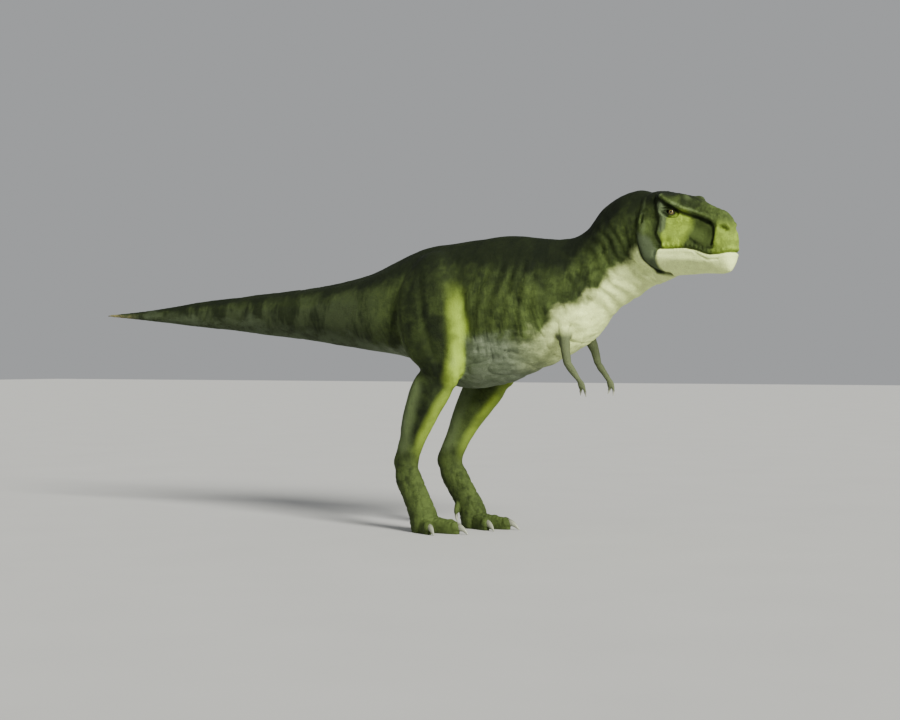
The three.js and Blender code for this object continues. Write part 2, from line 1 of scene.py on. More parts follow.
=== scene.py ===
"""A life-size living tyrannosaur, standing still, with its head turned to its right.

Everything is in metres. The animal's own frame has its hip over X = 0, +X forward, +Y to its left
and the floor at Z = 0; ORIGIN carries that frame to the solids' frame.
"""

import logging
import math
from dataclasses import dataclass
from enum import Enum
from typing import Callable, Sequence

import bmesh
import bpy
import numpy as np
from mathutils import Matrix, Vector


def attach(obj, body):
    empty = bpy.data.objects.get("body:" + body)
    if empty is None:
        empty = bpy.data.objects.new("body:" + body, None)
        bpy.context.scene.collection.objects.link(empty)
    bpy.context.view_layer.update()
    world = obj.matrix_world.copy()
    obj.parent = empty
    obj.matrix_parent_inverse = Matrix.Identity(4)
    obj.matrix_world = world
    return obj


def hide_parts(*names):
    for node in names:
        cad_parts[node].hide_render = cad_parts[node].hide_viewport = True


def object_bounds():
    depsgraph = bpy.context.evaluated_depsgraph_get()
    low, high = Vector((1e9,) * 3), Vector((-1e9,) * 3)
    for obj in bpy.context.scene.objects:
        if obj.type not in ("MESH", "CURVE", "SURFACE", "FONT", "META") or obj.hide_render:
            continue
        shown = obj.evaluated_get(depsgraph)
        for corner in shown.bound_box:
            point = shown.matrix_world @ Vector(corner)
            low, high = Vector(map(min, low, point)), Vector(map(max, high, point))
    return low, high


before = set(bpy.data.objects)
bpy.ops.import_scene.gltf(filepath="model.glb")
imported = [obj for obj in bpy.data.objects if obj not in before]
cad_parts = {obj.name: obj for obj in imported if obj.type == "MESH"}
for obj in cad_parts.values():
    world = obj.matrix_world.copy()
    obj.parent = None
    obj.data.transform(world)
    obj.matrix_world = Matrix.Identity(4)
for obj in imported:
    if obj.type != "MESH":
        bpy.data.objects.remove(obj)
CAD_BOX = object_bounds()

LOG = logging.getLogger("tyrannosaur")
BODY = "root"
Row = tuple[float, ...]
Socket = bpy.types.NodeSocket

TAIL_TIP_X = -6.45  # tip of the tail in the animal's own frame
ORIGIN = Vector((CAD_BOX[0].x - TAIL_TIP_X, 0.0, 0.0))


class Side(Enum):
    """The two sides of the body, as the sign of Y."""

    RIGHT = -1
    LEFT = 1


class Region(Enum):
    """The frames in which a form's line is given."""

    TRUNK = "trunk"
    LEG = "leg"
    HEAD = "head"


# The lines that the body parts follow: x, y, z, half width, reach up or forward, reach down or back.
TRUNK: tuple[Row, ...] = (
    (-6.45, 0, 3.237, 0.012, 0.012, 0.012),
    (-5.54, 0, 3.228, 0.062, 0.084, 0.086),
    (-4.49, 0, 3.236, 0.140, 0.186, 0.204),
    (-3.49, 0, 3.250, 0.215, 0.250, 0.318),
    (-2.52, 0, 3.262, 0.292, 0.318, 0.440),
    (-1.59, 0, 3.276, 0.390, 0.424, 0.590),
    (-1.05, 0, 3.300, 0.460, 0.520, 0.695),
    (-0.64, 0, 3.330, 0.520, 0.650, 0.790),
    (-0.17, 0, 3.352, 0.570, 0.805, 0.940),
    (0.34, 0, 3.330, 0.620, 0.890, 1.215),
    (1.00, 0, 3.280, 0.672, 1.000, 1.165),
    (1.65, 0, 3.310, 0.650, 0.955, 0.905),
    (2.18, 0, 3.440, 0.560, 0.815, 0.720),
    (2.50, 0, 3.610, 0.475, 0.735, 0.540),
    (2.80, -0.02, 3.870, 0.415, 0.590, 0.640),
    (3.10, -0.06, 4.150, 0.385, 0.625, 0.690),
    (3.35, -0.11, 4.310, 0.350, 0.560, 0.600),
    (3.56, -0.16, 4.370, 0.290, 0.420, 0.480),
)
TRUNK_TAPER = 0.3
THROAT: tuple[Row, ...] = (
    (2.98, -0.04, 3.720, 0.230, 0.200, 0.190),
    (3.26, -0.09, 3.740, 0.235, 0.210, 0.250),
    (3.54, -0.165, 3.770, 0.215, 0.170, 0.235),
    (3.80, -0.25, 3.800, 0.170, 0.110, 0.190),
    (4.02, -0.32, 3.800, 0.090, 0.060, 0.110),
)
LEG_SPREAD = 0.45
THIGH: tuple[Row, ...] = (
    (0.020, 0.235, 4.060, 0.070, 0.160, 0.150),
    (0.070, 0.375, 3.790, 0.190, 0.430, 0.390),
    (0.105, 0.455, 3.420, 0.262, 0.580, 0.535),
    (0.150, 0.485, 3.060, 0.290, 0.560, 0.550),
    (0.220, 0.500, 2.740, 0.264, 0.490, 0.500),
    (0.315, 0.500, 2.460, 0.216, 0.375, 0.320),
    (0.395, 0.490, 2.240, 0.182, 0.235, 0.205),
    (0.430, 0.484, 2.085, 0.112, 0.105, 0.140),
)
SHANK: tuple[Row, ...] = (
    (0.350, 0.482, 2.330, 0.110, 0.130, 0.250),
    (0.270, 0.482, 2.130, 0.178, 0.215, 0.400),
    (0.115, 0.480, 1.900, 0.196, 0.225, 0.385),
    (-0.035, 0.475, 1.640, 0.176, 0.208, 0.300),
    (-0.165, 0.462, 1.370, 0.150, 0.182, 0.222),
    (-0.270, 0.452, 1.130, 0.144, 0.186, 0.198),
    (-0.312, LEG_SPREAD, 0.985, 0.154, 0.208, 0.212),
    (-0.318, LEG_SPREAD, 0.900, 0.134, 0.168, 0.176),
)
METATARSUS: tuple[Row, ...] = (
    (-0.322, LEG_SPREAD, 0.960, 0.120, 0.146, 0.150),
    (-0.285, LEG_SPREAD, 0.820, 0.156, 0.200, 0.200),
    (-0.208, LEG_SPREAD, 0.640, 0.156, 0.194, 0.196),
    (-0.112, LEG_SPREAD, 0.450, 0.164, 0.190, 0.200),
    (-0.030, LEG_SPREAD, 0.270, 0.190, 0.195, 0.205),
    (0.000, LEG_SPREAD, 0.130, 0.208, 0.190, 0.208),
    (0.000, LEG_SPREAD, -0.030, 0.178, 0.160, 0.178),
)
HALLUX: tuple[Row, ...] = (
    (-0.160, LEG_SPREAD - 0.095, 0.400, 0.046, 0.048, 0.048),
    (-0.190, LEG_SPREAD - 0.150, 0.330, 0.046, 0.046, 0.046),
    (-0.205, LEG_SPREAD - 0.175, 0.250, 0.040, 0.038, 0.038),
    (-0.200, LEG_SPREAD - 0.182, 0.195, 0.026, 0.026, 0.026),
)
HALLUX_CLAW: tuple[Row, ...] = (
    (-0.202, LEG_SPREAD - 0.181, 0.215, 0.022, 0.022, 0.022),
    (-0.196, LEG_SPREAD - 0.186, 0.150, 0.020, 0.020, 0.020),
    (-0.176, LEG_SPREAD - 0.192, 0.095, 0.004, 0.004, 0.004),
)
ARM_SPREAD = 0.50
UPPER_ARM: tuple[Row, ...] = (
    (2.190, 0.340, 3.020, 0.080, 0.100, 0.100),
    (2.235, 0.415, 2.840, 0.084, 0.096, 0.096),
    (2.290, 0.478, 2.640, 0.062, 0.066, 0.070),
    (2.325, ARM_SPREAD, 2.470, 0.054, 0.056, 0.060),
    (2.330, ARM_SPREAD, 2.420, 0.038, 0.038, 0.042),
)
FOREARM: tuple[Row, ...] = (
    (2.318, ARM_SPREAD, 2.480, 0.040, 0.040, 0.044),
    (2.362, ARM_SPREAD, 2.405, 0.050, 0.054, 0.054),
    (2.432, ARM_SPREAD - 0.004, 2.312, 0.044, 0.046, 0.046),
    (2.492, ARM_SPREAD - 0.010, 2.232, 0.036, 0.038, 0.038),
    (2.512, ARM_SPREAD - 0.012, 2.200, 0.030, 0.032, 0.032),
)
HAND: tuple[Row, ...] = (
    (2.502, ARM_SPREAD - 0.011, 2.222, 0.030, 0.034, 0.034),
    (2.524, ARM_SPREAD - 0.014, 2.180, 0.038, 0.048, 0.048),
    (2.540, ARM_SPREAD - 0.018, 2.132, 0.038, 0.052, 0.052),
    (2.546, ARM_SPREAD - 0.020, 2.104, 0.028, 0.042, 0.042),
)

# How far the left leg stands ahead of the right: heights, and the lead at each.
LEAD_HEIGHTS = (0.0, 0.3, 1.0, 1.6, 2.2, 3.5)
LEADS = (0.335, 0.320, 0.215, 0.270, 0.385, 0.0)

# The head in its own frame: x, crown z, then brow, cheek, lip and jowl as half width and height, then keel z.
HEAD: tuple[Row, ...] = (
    (-0.060, 0.745, 0.215, 0.655, 0.350, 0.300, 0.375, 0.020, 0.320, -0.190, -0.270),
    (0.130, 0.772, 0.255, 0.690, 0.395, 0.330, 0.405, 0.010, 0.350, -0.210, -0.345),
    (0.330, 0.760, 0.275, 0.692, 0.385, 0.320, 0.375, 0.000, 0.325, -0.205, -0.365),
    (0.530, 0.732, 0.262, 0.664, 0.325, 0.340, 0.320, 0.000, 0.280, -0.190, -0.350),
    (0.740, 0.685, 0.195, 0.600, 0.250, 0.320, 0.262, 0.000, 0.240, -0.175, -0.325),
    (0.950, 0.610, 0.140, 0.535, 0.212, 0.290, 0.226, -0.035, 0.208, -0.170, -0.300),
    (1.140, 0.545, 0.124, 0.475, 0.200, 0.240, 0.206, -0.064, 0.184, -0.165, -0.292),
    (1.290, 0.445, 0.108, 0.385, 0.172, 0.190, 0.176, -0.042, 0.152, -0.150, -0.285),
    (1.375, 0.310, 0.080, 0.262, 0.126, 0.135, 0.126, -0.012, 0.108, -0.130, -0.255),
    (1.412, 0.175, 0.040, 0.150, 0.062, 0.090, 0.062, 0.000, 0.052, -0.095, -0.175),
)
HEAD_PLACE = Vector((3.42, -0.10, 4.03))
HEAD_YAW = math.radians(-18)
HEAD_PITCH = math.radians(-5)
HEAD_TO_BODY = (
    Matrix.Translation(HEAD_PLACE)
    @ Matrix.Rotation(HEAD_YAW, 4, "Z")
    @ Matrix.Rotation(-HEAD_PITCH, 4, "Y")
)
MOUTH_LINE_X = (0.0, 0.21, 0.42, 0.60, 0.78, 0.95, 1.05, 1.16, 1.29, 1.375, 1.412, 1.6)
MOUTH_LINE_Z = (0.05, 0.020, -0.008, 0.004, 0.024, 0.002, -0.028, -0.050, -0.036, -0.010, 0.0, 0.005)
MOUTH_CORNER_X = 0.40
EYE_PLACE = (0.520, 0.247, 0.482)
EYE_RADIUS = 0.056


@dataclass(frozen=True)
class Toe:
    """One of the three walking toes.

    Args:
        node: the toe's name, without its side.
        heading: degrees outward from straight ahead.
        root: x and the distance from the midline where it starts.
        length: how far its flesh reaches.
        half: half its width at the root.
    """

    node: str
    heading: float
    root: tuple[float, float]
    length: float
    half: float


TOES = (
    Toe("toe_middle", 2, (0.070, LEG_SPREAD), 0.530, 0.098),
    Toe("toe_inner", -27, (0.025, LEG_SPREAD - 0.085), 0.400, 0.088),
    Toe("toe_outer", 38, (0.005, LEG_SPREAD + 0.085), 0.340, 0.084),
)
TOE_PADS = 3
TOE_ROOT_HEIGHT = 0.128
TOE_TIP_HEIGHT = 0.080
TOE_CREST = 0.102
TOE_DEPTH = 0.150
TOE_TAPER = 0.32
TOE_SWELL = 0.05
TOE_END = 0.62
CLAW_LENGTH = 0.185
CLAW_SUNK = 0.045
CLAW_ROOT = 0.056
CLAW_TIP = 0.005
CLAW_HEIGHT = 0.104
CLAW_DROP = 2.2
CLAW_SLIM = 0.74
FINGERS = (("finger_front", 0.026, 0.092), ("finger_back", -0.026, 0.078))
FINGER_RADIUS = 0.022
FINGER_CLAW_ROOT = FINGER_RADIUS * 0.85
FINGER_CLAW_TIP = 0.003
FINGER_FLESH = (-0.2, 0.8)
FINGER_CLAW = (0.68, 1.5)
CLAW_STEPS = (0.0, 0.25, 0.5, 0.75, 1.0)
FINGER_ROOT = (2.545, 2.128)
FINGER_SPREAD = 0.4
FINGER_CURL = (0.006, 0.014)


def between(table: np.ndarray, place: np.ndarray) -> np.ndarray:
    """Rows of a table at fractional places, on a smooth Catmull-Rom line.

    Args:
        table: one row for each station.
        place: places, where whole numbers are the table's own rows.

    Returns:
        One row for each place.
    """
    last = len(table) - 1
    first = np.clip(np.floor(place), 0, last - 1).astype(int)
    part = (place - first)[:, None]
    before, start, end, after = (table[np.clip(first + k, 0, last)] for k in (-1, 0, 1, 2))
    bend = 3 * (start - end) + after - before
    curve = 2 * before - 5 * start + 4 * end - after + part * bend
    return start + 0.5 * part * (end - before + part * curve)


def lead_at(height: np.ndarray | float) -> np.ndarray | float:
    """How far the left leg stands ahead of the right at a height."""
    return np.interp(height, LEAD_HEIGHTS, LEADS)


def on_side(rows: Sequence[Row], side: Side, leads: bool = False) -> tuple[Row, ...]:
    """A limb's table for one side of the body.

    Args:
        rows: the table, with y as a distance from the midline.
        side: the side it is for.
        leads: whether the limb is part of a leg, so that the left one stands ahead.

    Returns:
        The table in the animal's own frame.
    """
    shift = leads and side is Side.LEFT
    return tuple(
        (x + (float(lead_at(z)) if shift else 0.0), side.value * y, z, *sizes) for x, y, z, *sizes in rows
    )


NUDGE = 0.02  # part of a station between the points that give a line's direction
BLOCK = 20000  # points looked at together, to save memory
LEAST_WIDTH = 0.02  # half width below which a part's end counts as this wide


@dataclass(frozen=True)
class Sleeve:
    """A closed body part made of rings carried along a line.

    Args:
        rows: x, y, z, half width, reach up and reach down at each station.
        sides: points round a ring.
        rings: rings along the line.
        taper: how much narrower a section is at its top.
    """

    rows: tuple[Row, ...]
    sides: int = 36
    rings: int = 40
    taper: float = 0.0

    @property
    def last(self) -> float:
        """Place of the last station."""
        return len(self.rows) - 1.0

    def axes(self, place: np.ndarray) -> tuple[np.ndarray, ...]:
        """Centre, side and up directions at places of the line, and the sizes there."""
        table = np.array(self.rows, float)
        ahead = between(table, np.minimum(place + NUDGE, self.last))[:, :3]
        along = ahead - between(table, np.maximum(place - NUDGE, 0.0))[:, :3]
        along /= np.linalg.norm(along, axis=1)[:, None]
        up = np.cross(along, (0.0, 1.0, 0.0))
        up /= np.linalg.norm(up, axis=1)[:, None]
        here = between(table, place)
        return here[:, :3], np.cross(up, along), up, here[:, 3:]

    def ring(self, share: float, turns: np.ndarray) -> np.ndarray:
        """Points of the ring at a share of the length.

        Args:
            share: 0 at the first station, 1 at the last.
            turns: shares of a full turn, from the top round the left side.

        Returns:
            One point for each turn.
        """
        centre, side, up, sizes = (a[0] for a in self.axes(np.array([share * self.last])))
        across, rise = np.sin(turns * math.tau), np.cos(turns * math.tau)
        width = across * sizes[0] * (1 - self.taper * np.maximum(rise, 0) ** 2)
        height = rise * np.where(rise > 0, sizes[1], sizes[2])
        return centre + width[:, None] * side + height[:, None] * up

    def add_to(self, bm: bmesh.types.BMesh) -> None:
        """Adds the closed part to a mesh."""
        turn = bm.verts.layers.float.get("turn") or bm.verts.layers.float.new("turn")
        first = bmesh.ops.create_circle(bm, cap_ends=True, segments=self.sides, radius=1.0)["verts"]
        for vertex in first:
            vertex[turn] = (math.atan2(vertex.co.x, vertex.co.y) / math.tau) % 1.0
        self._place(first, turn, 0.0)
        edges = list({edge for vertex in first for edge in vertex.link_edges})
        for step in range(1, self.rings + 1):
            made = bmesh.ops.extrude_edge_only(bm, edges=edges)["geom"]
            edges = [item for item in made if isinstance(item, bmesh.types.BMEdge)]
            ring = [item for item in made if isinstance(item, bmesh.types.BMVert)]
            self._place(ring, turn, step / self.rings)
        bmesh.ops.edgeloop_fill(bm, edges=edges)

    def _place(self, ring: Sequence[bmesh.types.BMVert], turn: bmesh.types.BMLayerItem, share: float) -> None:
        """Moves a new ring's vertices to their places."""
        points = self.ring(share, np.array([vertex[turn] for vertex in ring]))
        for vertex, point in zip(ring, points):
            vertex.co = point

    def locate(self, points: np.ndarray, samples: int = 240) -> tuple[np.ndarray, ...]:
        """Where points lie along and round the part.

        Args:
            points: points in the animal's own frame.
            samples: places tried along the line.

        Returns:
            The share of the length, the turn as across and rise from -1 to 1, and the distance from
            the line where 1 is the part's surface.
        """
        place = np.linspace(0, self.last, samples)
        centre, side, up, sizes = self.axes(place)
        nearest = np.empty(len(points), int)
        for start in range(0, len(points), BLOCK):
            block = points[start : start + BLOCK]
            squares = (centre**2).sum(axis=1) - 2 * block @ centre.T
            nearest[start : start + BLOCK] = squares.argmin(axis=1)
        offset = points - centre[nearest]
        across = (offset * side[nearest]).sum(axis=1) / sizes[nearest, 0]
        height = (offset * up[nearest]).sum(axis=1)
        rise = height / np.where(height > 0, sizes[nearest, 1], sizes[nearest, 2])
        beyond = np.linalg.norm(offset, axis=1)
        flat = np.hypot(across * sizes[nearest, 0], height)
        past_end = np.sqrt(np.maximum(beyond**2 - flat**2, 0))
        radial = np.hypot(np.hypot(across, rise), past_end / sizes[nearest, 0].clip(LEAST_WIDTH))
        return place[nearest] / self.last, across, rise, radial


@dataclass(frozen=True)
class HeadSleeve(Sleeve):
    """The head and jaw as one closed part, whose rings run through six points of each half section."""

    def ring(self, share: float, turns: np.ndarray) -> np.ndarray:
        """Points of the ring at a share of the head's length."""
        row = between(np.array(self.rows, float), np.array([share * self.last]))[0]
        x, crown, keel = row[0], row[1], row[-1]
        half = [(row[i], row[i + 1]) for i in range(2, 10, 2)]
        closed = [(0.0, crown), *half, (0.0, keel), *[(-y, z) for y, z in reversed(half)]]
        looped = np.array([*closed[-2:], *closed, *closed[:3]])
        section = between(looped, 2 + turns * len(closed))
        local = np.column_stack([np.full(len(turns), x), section])
        return carried(local, HEAD_TO_BODY)


def carried(points: np.ndarray, matrix: Matrix) -> np.ndarray:
    """Points carried by a matrix."""
    m = np.array(matrix)
    return points @ m[:3, :3].T + m[:3, 3]


def toe_rows(toe: Toe, side: Side) -> tuple[Row, ...]:
    """The table of a toe along the floor, which swells at each pad."""
    angle = math.radians(toe.heading)
    lead = LEADS[0] if side is Side.LEFT else 0.0
    steps = 2 * TOE_PADS + 1
    rows = []
    for step in range(steps + 1):
        share = step / steps
        pad = 1 + TOE_SWELL * math.cos(math.tau * TOE_PADS * share)
        slim = (1 - TOE_TAPER * share) * pad * (TOE_END if step == steps else 1)
        reach = share * toe.length
        x = toe.root[0] + lead + reach * math.cos(angle)
        y = side.value * (toe.root[1] + reach * math.sin(angle))
        z = TOE_ROOT_HEIGHT + (TOE_TIP_HEIGHT - TOE_ROOT_HEIGHT) * share
        rows.append((x, y, z, toe.half * slim, TOE_CREST * slim, TOE_DEPTH))
    return tuple(rows)


def toe_claw_rows(toe: Toe, side: Side) -> tuple[Row, ...]:
    """The table of a toe's claw, bent down so that its point rests on the floor."""
    angle = math.radians(toe.heading)
    lead = LEADS[0] if side is Side.LEFT else 0.0
    rows = []
    for share in CLAW_STEPS:
        reach = toe.length - CLAW_SUNK + share * CLAW_LENGTH
        radius = CLAW_ROOT * (1 - share) ** 0.75 + CLAW_TIP
        x = toe.root[0] + lead + reach * math.cos(angle)
        y = side.value * (toe.root[1] + reach * math.sin(angle))
        rows.append((x, y, CLAW_HEIGHT * (1 - share**CLAW_DROP), radius * CLAW_SLIM, radius, radius))
    return tuple(rows)


def finger_rows(
    shift: float, length: float, side: Side, start: float, end: float, claw: bool
) -> tuple[Row, ...]:
    """The table of a finger or its claw, hanging from the end of the hand.

    Args:
        shift: how far the finger is from the middle of the hand.
        length: the finger's length without its claw.
        side: the side of the body.
        start: share of the length where the part starts.
        end: share of the length where it ends.
        claw: whether it is the claw, which runs to a point.

    Returns:
        The table in the animal's own frame.
    """
    rows = []
    for step in CLAW_STEPS:
        share = start + (end - start) * step
        size = FINGER_CLAW_ROOT + (FINGER_CLAW_TIP - FINGER_CLAW_ROOT) * step if claw else FINGER_RADIUS
        x = FINGER_ROOT[0] + shift * (1 + FINGER_SPREAD * share) + FINGER_CURL[0] * math.sin(share * 2)
        y = side.value * (HAND[-1][1] - FINGER_CURL[1] * share**2)
        rows.append((x, y, FINGER_ROOT[1] - length * share, size, size, size))
    return tuple(rows)


def value_noise(points: np.ndarray, size: float, seed: int) -> np.ndarray:
    """Smooth noise from -1 to 1 with lumps of about a size.

    Args:
        points: where it is wanted.
        size: the distance between lattice values, in metres.
        seed: picks the pattern.

    Returns:
        One value for each point.
    """
    scaled = points / size + seed * 17.31
    cell = np.floor(scaled).astype(np.int64)
    part = scaled - cell
    part = part * part * (3 - 2 * part)
    total = np.zeros(len(points))
    for corner in range(8):
        step = np.array([corner & 1, (corner >> 1) & 1, (corner >> 2) & 1])
        key = (cell + step) * np.array([73856093, 19349663, 83492791])
        mixed = (key[:, 0] ^ key[:, 1] ^ key[:, 2] ^ (seed * 2654435761)) & 0xFFFFFFFF
        mixed = (mixed ^ (mixed >> 15)) * 2246822519 & 0xFFFFFFFF
        mixed = (mixed ^ (mixed >> 13)) * 3266489917 & 0xFFFFFFFF
        value = ((mixed ^ (mixed >> 16)) & 0xFFFFFF) / 0x7FFFFF - 1.0
        weight = np.where(step == 1, part, 1 - part).prod(axis=1)
        total += weight * value
    return total


def smooth_step(value: np.ndarray, low: float, high: float) -> np.ndarray:
    """0 below low, 1 above high and a smooth rise between; low may be the larger."""
    share = np.clip((value - low) / (high - low), 0, 1)
    return share * share * (3 - 2 * share)


def window(value: np.ndarray, low: float, full: float, last: float, high: float) -> np.ndarray:
    """1 between two values, fading to 0 below and above them."""
    return smooth_step(value, low, full) * smooth_step(value, high, last)


def bell(value: np.ndarray, middle: float, width: float) -> np.ndarray:
    """1 at a value, falling away on both sides of it like a bell."""
    return np.exp(-(((value - middle) / width) ** 2))


def line_distance(points: np.ndarray, line: Sequence[Sequence[float]]) -> np.ndarray:
    """Distance from each point to a line of points."""
    nearest = np.full(len(points), np.inf)
    knots = np.array(line, float)
    if len(knots) == 1:
        return np.linalg.norm(points - knots[0], axis=1)
    for start, end in zip(knots[:-1], knots[1:]):
        run = end - start
        share = np.clip(((points - start) @ run) / (run @ run), 0, 1)
        nearest = np.minimum(nearest, np.linalg.norm(points - start - share[:, None] * run, axis=1))
    return nearest


@dataclass(frozen=True)
class Form:
    """A shape raised on the hide, or sunk into it, along a line of points on the left side.

    Args:
        region: the frame that the line is in.
        line: its points.
        reach: how far from the line it fades.
        rise: how far the hide moves out along its own normal.
        push: how far the hide moves in a fixed direction, mirrored on the right side.
        seen_from_side: whether only x and z count, so that the line lies on the surface anywhere.
    """

    region: Region
    line: tuple[tuple[float, float, float], ...]
    reach: float
    rise: float = 0.0
    push: tuple[float, float, float] = (0.0, 0.0, 0.0)
    seen_from_side: bool = False


def mass(line: tuple[tuple[float, float, float], ...], reach: float, *push: float) -> Form:
    """A main form of the head, pushed in a fixed direction."""
    return Form(Region.HEAD, line, reach, push=push)


def shaped(region: Region, reach: float, rise: float, *knots: tuple[float, float, float]) -> Form:
    """A form of the body along a line of points, along the hide's own normal."""
    return Form(region, knots, reach, rise)


def drawn(reach: float, rise: float, *knots: tuple[float, float]) -> Form:
    """A fine form of the head, along a line drawn in side view as x and z."""
    return Form(Region.HEAD, tuple((x, 0.0, z) for x, z in knots), reach, rise, seen_from_side=True)


# The main forms of the head.
HEAD_FORMS = (
    mass(((0.33, 0.285, 0.69), (0.52, 0.29, 0.665), (0.66, 0.235, 0.715)), 0.062, 0, 0.028, 0.022),
    mass(((0.36, 0.33, 0.69), (0.52, 0.315, 0.625), (0.69, 0.265, 0.56)), 0.048, 0, 0.040, 0.008),
    mass(((0.65, 0.205, 0.725), (0.70, 0.195, 0.69)), 0.075, 0, 0.012, 0.074),
    mass(((0.69, 0.265, 0.56), (0.95, 0.20, 0.50), (1.13, 0.175, 0.44)), 0.048, 0, 0.028, 0.012),
    mass(((1.235, 0.160, 0.37), (1.255, 0.180, 0.26), (1.240, 0.185, 0.11)), 0.055, 0, 0.026, 0),
    mass(((0.89, 0.225, 0.29), (1.06, 0.21, 0.255)), 0.110, 0, -0.050, 0),
    mass(((0.50, 0.33, 0.47), (0.58, 0.31, 0.47)), 0.080, 0, -0.050, 0),
    mass(((0.43, 0.37, 0.17), (0.60, 0.32, 0.15)), 0.085, 0, 0.030, 0),
    mass(((0.37, 0.345, 0.56), (0.38, 0.35, 0.48)), 0.062, 0, 0.030, 0),
    mass(((0.15, 0.40, 0.08), (0.26, 0.385, -0.06)), 0.150, 0, 0.034, 0),
    mass(((0.30, 0.385, 0.38), (0.29, 0.385, 0.24)), 0.075, 0, -0.034, 0),
    mass(((1.20, 0.04, 0.50), (1.29, 0.05, 0.43)), 0.080, 0, 0, 0.022),
)

# Lines drawn on the side of the head, as x and z.
BROW_RIDGE = (
    (0.37, 0.700), (0.48, 0.638), (0.58, 0.588), (0.71, 0.542), (0.86, 0.497), (1.01, 0.452), (1.12, 0.415)
)
UNDER_BROW = (
    (0.30, 0.680), (0.40, 0.632), (0.49, 0.575), (0.62, 0.500), (0.76, 0.455), (0.99, 0.400), (1.09, 0.362)
)
SNOUT_RIM = ((1.09, 0.362), (1.160, 0.300), (1.190, 0.190), (1.185, 0.092))
SNOUT_RIM_FOOT = ((0.84, 0.140), (0.96, 0.062), (1.08, 0.020), (1.19, 0.040))
JAW_ANGLE = ((0.05, 0.15), (0.085, 0.05), (0.155, -0.10), (0.21, -0.23), (0.27, -0.31), (0.44, -0.345))
CHEEK_BAND = ((0.24, 0.66), (0.336, 0.484), (0.363, 0.350), (0.350, 0.214), (0.425, 0.060))
CHEEK_STRIP = ((0.385, 0.60), (0.440, 0.423), (0.455, 0.253))
PALE_BAND = ((-0.03, 0.69), (0.086, 0.484), (0.155, 0.242))
BAND_BEHIND = ((-0.06, 0.467), (0.012, 0.274))
NOSTRIL = ((1.285, 0.318), (1.335, 0.292))
LOWER_LIP = ((0.93, -0.030), (1.05, -0.082), (1.155, -0.117), (1.278, -0.100))
CHEEK = ((0.57, 0.09), (0.62, 0.20), (0.66, 0.36))
PIT = ((0.90, 0.28), (1.08, 0.20))
JAW_PATCH = ((0.17, 0.08), (0.24, -0.06), (0.32, -0.20), (0.36, -0.30))
HORN_PLACE = (0.73, 0.2, 0.74)

# Finer forms of the head, along the hide's own normal.
HEAD_DETAILS = (
    drawn(0.026, 0.016, *BROW_RIDGE),
    drawn(0.022, -0.022, *UNDER_BROW[2:]),
    drawn(0.024, -0.024, *SNOUT_RIM),
    drawn(0.022, -0.010, *SNOUT_RIM_FOOT),
    drawn(0.026, -0.034, (0.10, 0.40), (0.11, 0.34)),
    drawn(0.022, 0.014, (0.065, 0.42), (0.070, 0.33)),
    drawn(0.028, -0.052, *NOSTRIL),
    drawn(0.020, 0.014, (1.245, 0.335), (1.300, 0.368), (1.360, 0.335)),
    drawn(0.018, -0.014, (0.42, 0.02), (0.37, -0.03), (0.355, -0.10)),
    drawn(0.026, -0.034, *JAW_ANGLE),
    drawn(0.030, -0.020, *CHEEK_BAND),
    drawn(0.022, 0.010, *CHEEK_STRIP),
    drawn(0.026, -0.010, *BAND_BEHIND),
    drawn(0.014, -0.009, *LOWER_LIP),
    drawn(0.050, 0.008, (0.44, -0.12), (0.80, -0.13), (1.20, -0.17)),
    drawn(0.022, -0.007, (0.50, -0.21), (0.80, -0.225), (1.10, -0.215)),
)
